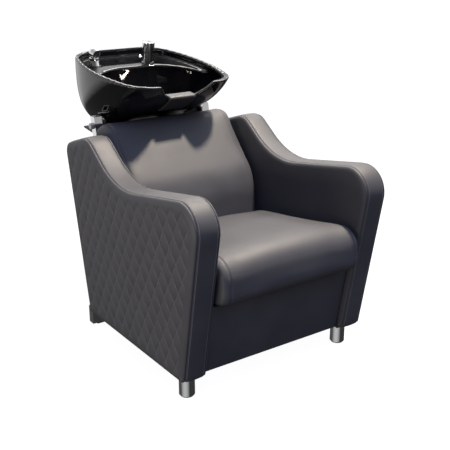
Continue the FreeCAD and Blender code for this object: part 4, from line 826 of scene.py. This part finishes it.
def white_studio():
    """A studio that is white to the eye and gives a cool fill from above.

    In mirrors its front is dim, so that the glaze stays black and the chrome has contrast. Below the horizon
    they see two glows on the right arm's side, one in front for the feet and one behind for the bowl's side.
    """
    world = bpy.data.worlds.new("white_studio")
    world.use_nodes = True
    sky = world.node_tree
    sky.nodes.clear()
    rays = add_node(sky, "ShaderNodeLightPath")
    heading = add_node(sky, "ShaderNodeTexCoord").outputs["Generated"]
    height = add_node(sky, "ShaderNodeSeparateXYZ", links=[(0, heading)]).outputs["Z"]
    glow = {}
    for name, (direction, strengths) in SKY_GLOWS.items():
        closeness = add_node(
            sky, "ShaderNodeVectorMath", [("operation", "DOT_PRODUCT"), (1, direction)], [(0, heading)])
        ranged = add_node(
            sky, "ShaderNodeMapRange", zip(RANGE, strengths), [("Value", closeness.outputs["Value"])])
        glow[name] = ranged.outputs["Result"]
    drop = add_node(sky, "ShaderNodeMapRange", zip(RANGE, BOWL_GLOW_DROP), [("Value", height)])
    bowl_glow = add_node(
        sky, "ShaderNodeMath", [("operation", "MULTIPLY")],
        [(0, glow["bowl_side"]), (1, drop.outputs["Result"])])
    low_glow = add_node(
        sky, "ShaderNodeMath", [("operation", "MAXIMUM")],
        [(0, glow["feet_glow"]), (1, bowl_glow.outputs[0])])
    below = add_node(sky, "ShaderNodeMath", [("operation", "LESS_THAN"), (1, 0.0)], [(0, height)])
    mirror_glow = add_node(
        sky, "ShaderNodeMix", links=[(0, below.outputs[0]), (2, glow["dim_front"]), (3, low_glow.outputs[0])])
    mirrored = add_node(
        sky, "ShaderNodeMath", [("operation", "MAXIMUM")],
        [(0, rays.outputs["Is Glossy Ray"]), (1, rays.outputs["Is Transmission Ray"])])
    fill = add_node(
        sky, "ShaderNodeBackground", [("Color", colour("#c4cfff"))], [("Strength", glow["cool_fill"])])
    reflected = add_node(
        sky, "ShaderNodeBackground", [("Color", colour("#ffffff"))], [("Strength", mirror_glow.outputs[0])])
    white = add_node(sky, "ShaderNodeBackground", [("Color", colour("#ffffff")), ("Strength", 1.0)])
    lit = add_node(
        sky, "ShaderNodeMixShader",
        links=[(0, mirrored.outputs[0]), (1, fill.outputs[0]), (2, reflected.outputs[0])])
    shown = add_node(
        sky, "ShaderNodeMixShader",
        links=[(0, rays.outputs["Is Camera Ray"]), (1, lit.outputs[0]), (2, white.outputs[0])])
    add_node(sky, "ShaderNodeOutputWorld", links=[("Surface", shown.outputs[0])])
    return world


scene.world = white_studio()


def add_lamp(name, place, target, shape, size, watts, tint):
    """A studio lamp, aimed at a point and out of the picture."""
    data = bpy.data.lights.new(name, "AREA")
    data.shape = shape
    data.size, data.size_y = size
    data.energy = watts
    data.color = colour(tint)[:3]
    lamp = bpy.data.objects.new(name, data)
    lamp.location = place
    lamp.rotation_euler = (Vector(target) - lamp.location).to_track_quat("-Z", "Y").to_euler()
    lamp.visible_camera = False
    scene.collection.objects.link(lamp)


add_lamp(
    "overhead_lamp", place=(0.95, -0.32, 3.6), target=(0, 0, 0.6),
    shape="DISK", size=(0.28, 0.28), watts=290, tint="#fff1de")
add_lamp(
    "side_softbox", place=(-3.0, -0.55, 0.65), target=(0, 0, 0.4),
    shape="RECTANGLE", size=(1.6, 0.6), watts=42, tint="#fff4e8")
add_lamp(
    "rear_softbox", place=(1.2, 2.2, 3.0), target=(0, -0.1, 0.6),
    shape="RECTANGLE", size=(3.0, 1.2), watts=85, tint="#fffaf4")

# The camera stands in front, on the right arm's side; its angles are in degrees.
CAMERA_DOWN = 19.877
CAMERA_TURN = -35.19
camera_data = bpy.data.cameras.new("photo_camera")
camera = bpy.data.objects.new("photo_camera", camera_data)
scene.collection.objects.link(camera)
camera.location = (-1.4673, -2.2756, 1.3224)
camera.rotation_euler = (math.radians(90 - CAMERA_DOWN), 0, math.radians(CAMERA_TURN))
camera_data.sensor_width = 36
camera_data.lens = 64.70
camera_data.shift_x = -0.0048
camera_data.shift_y = 0.0158
scene.camera = camera
scene.view_settings.view_transform = "Standard"
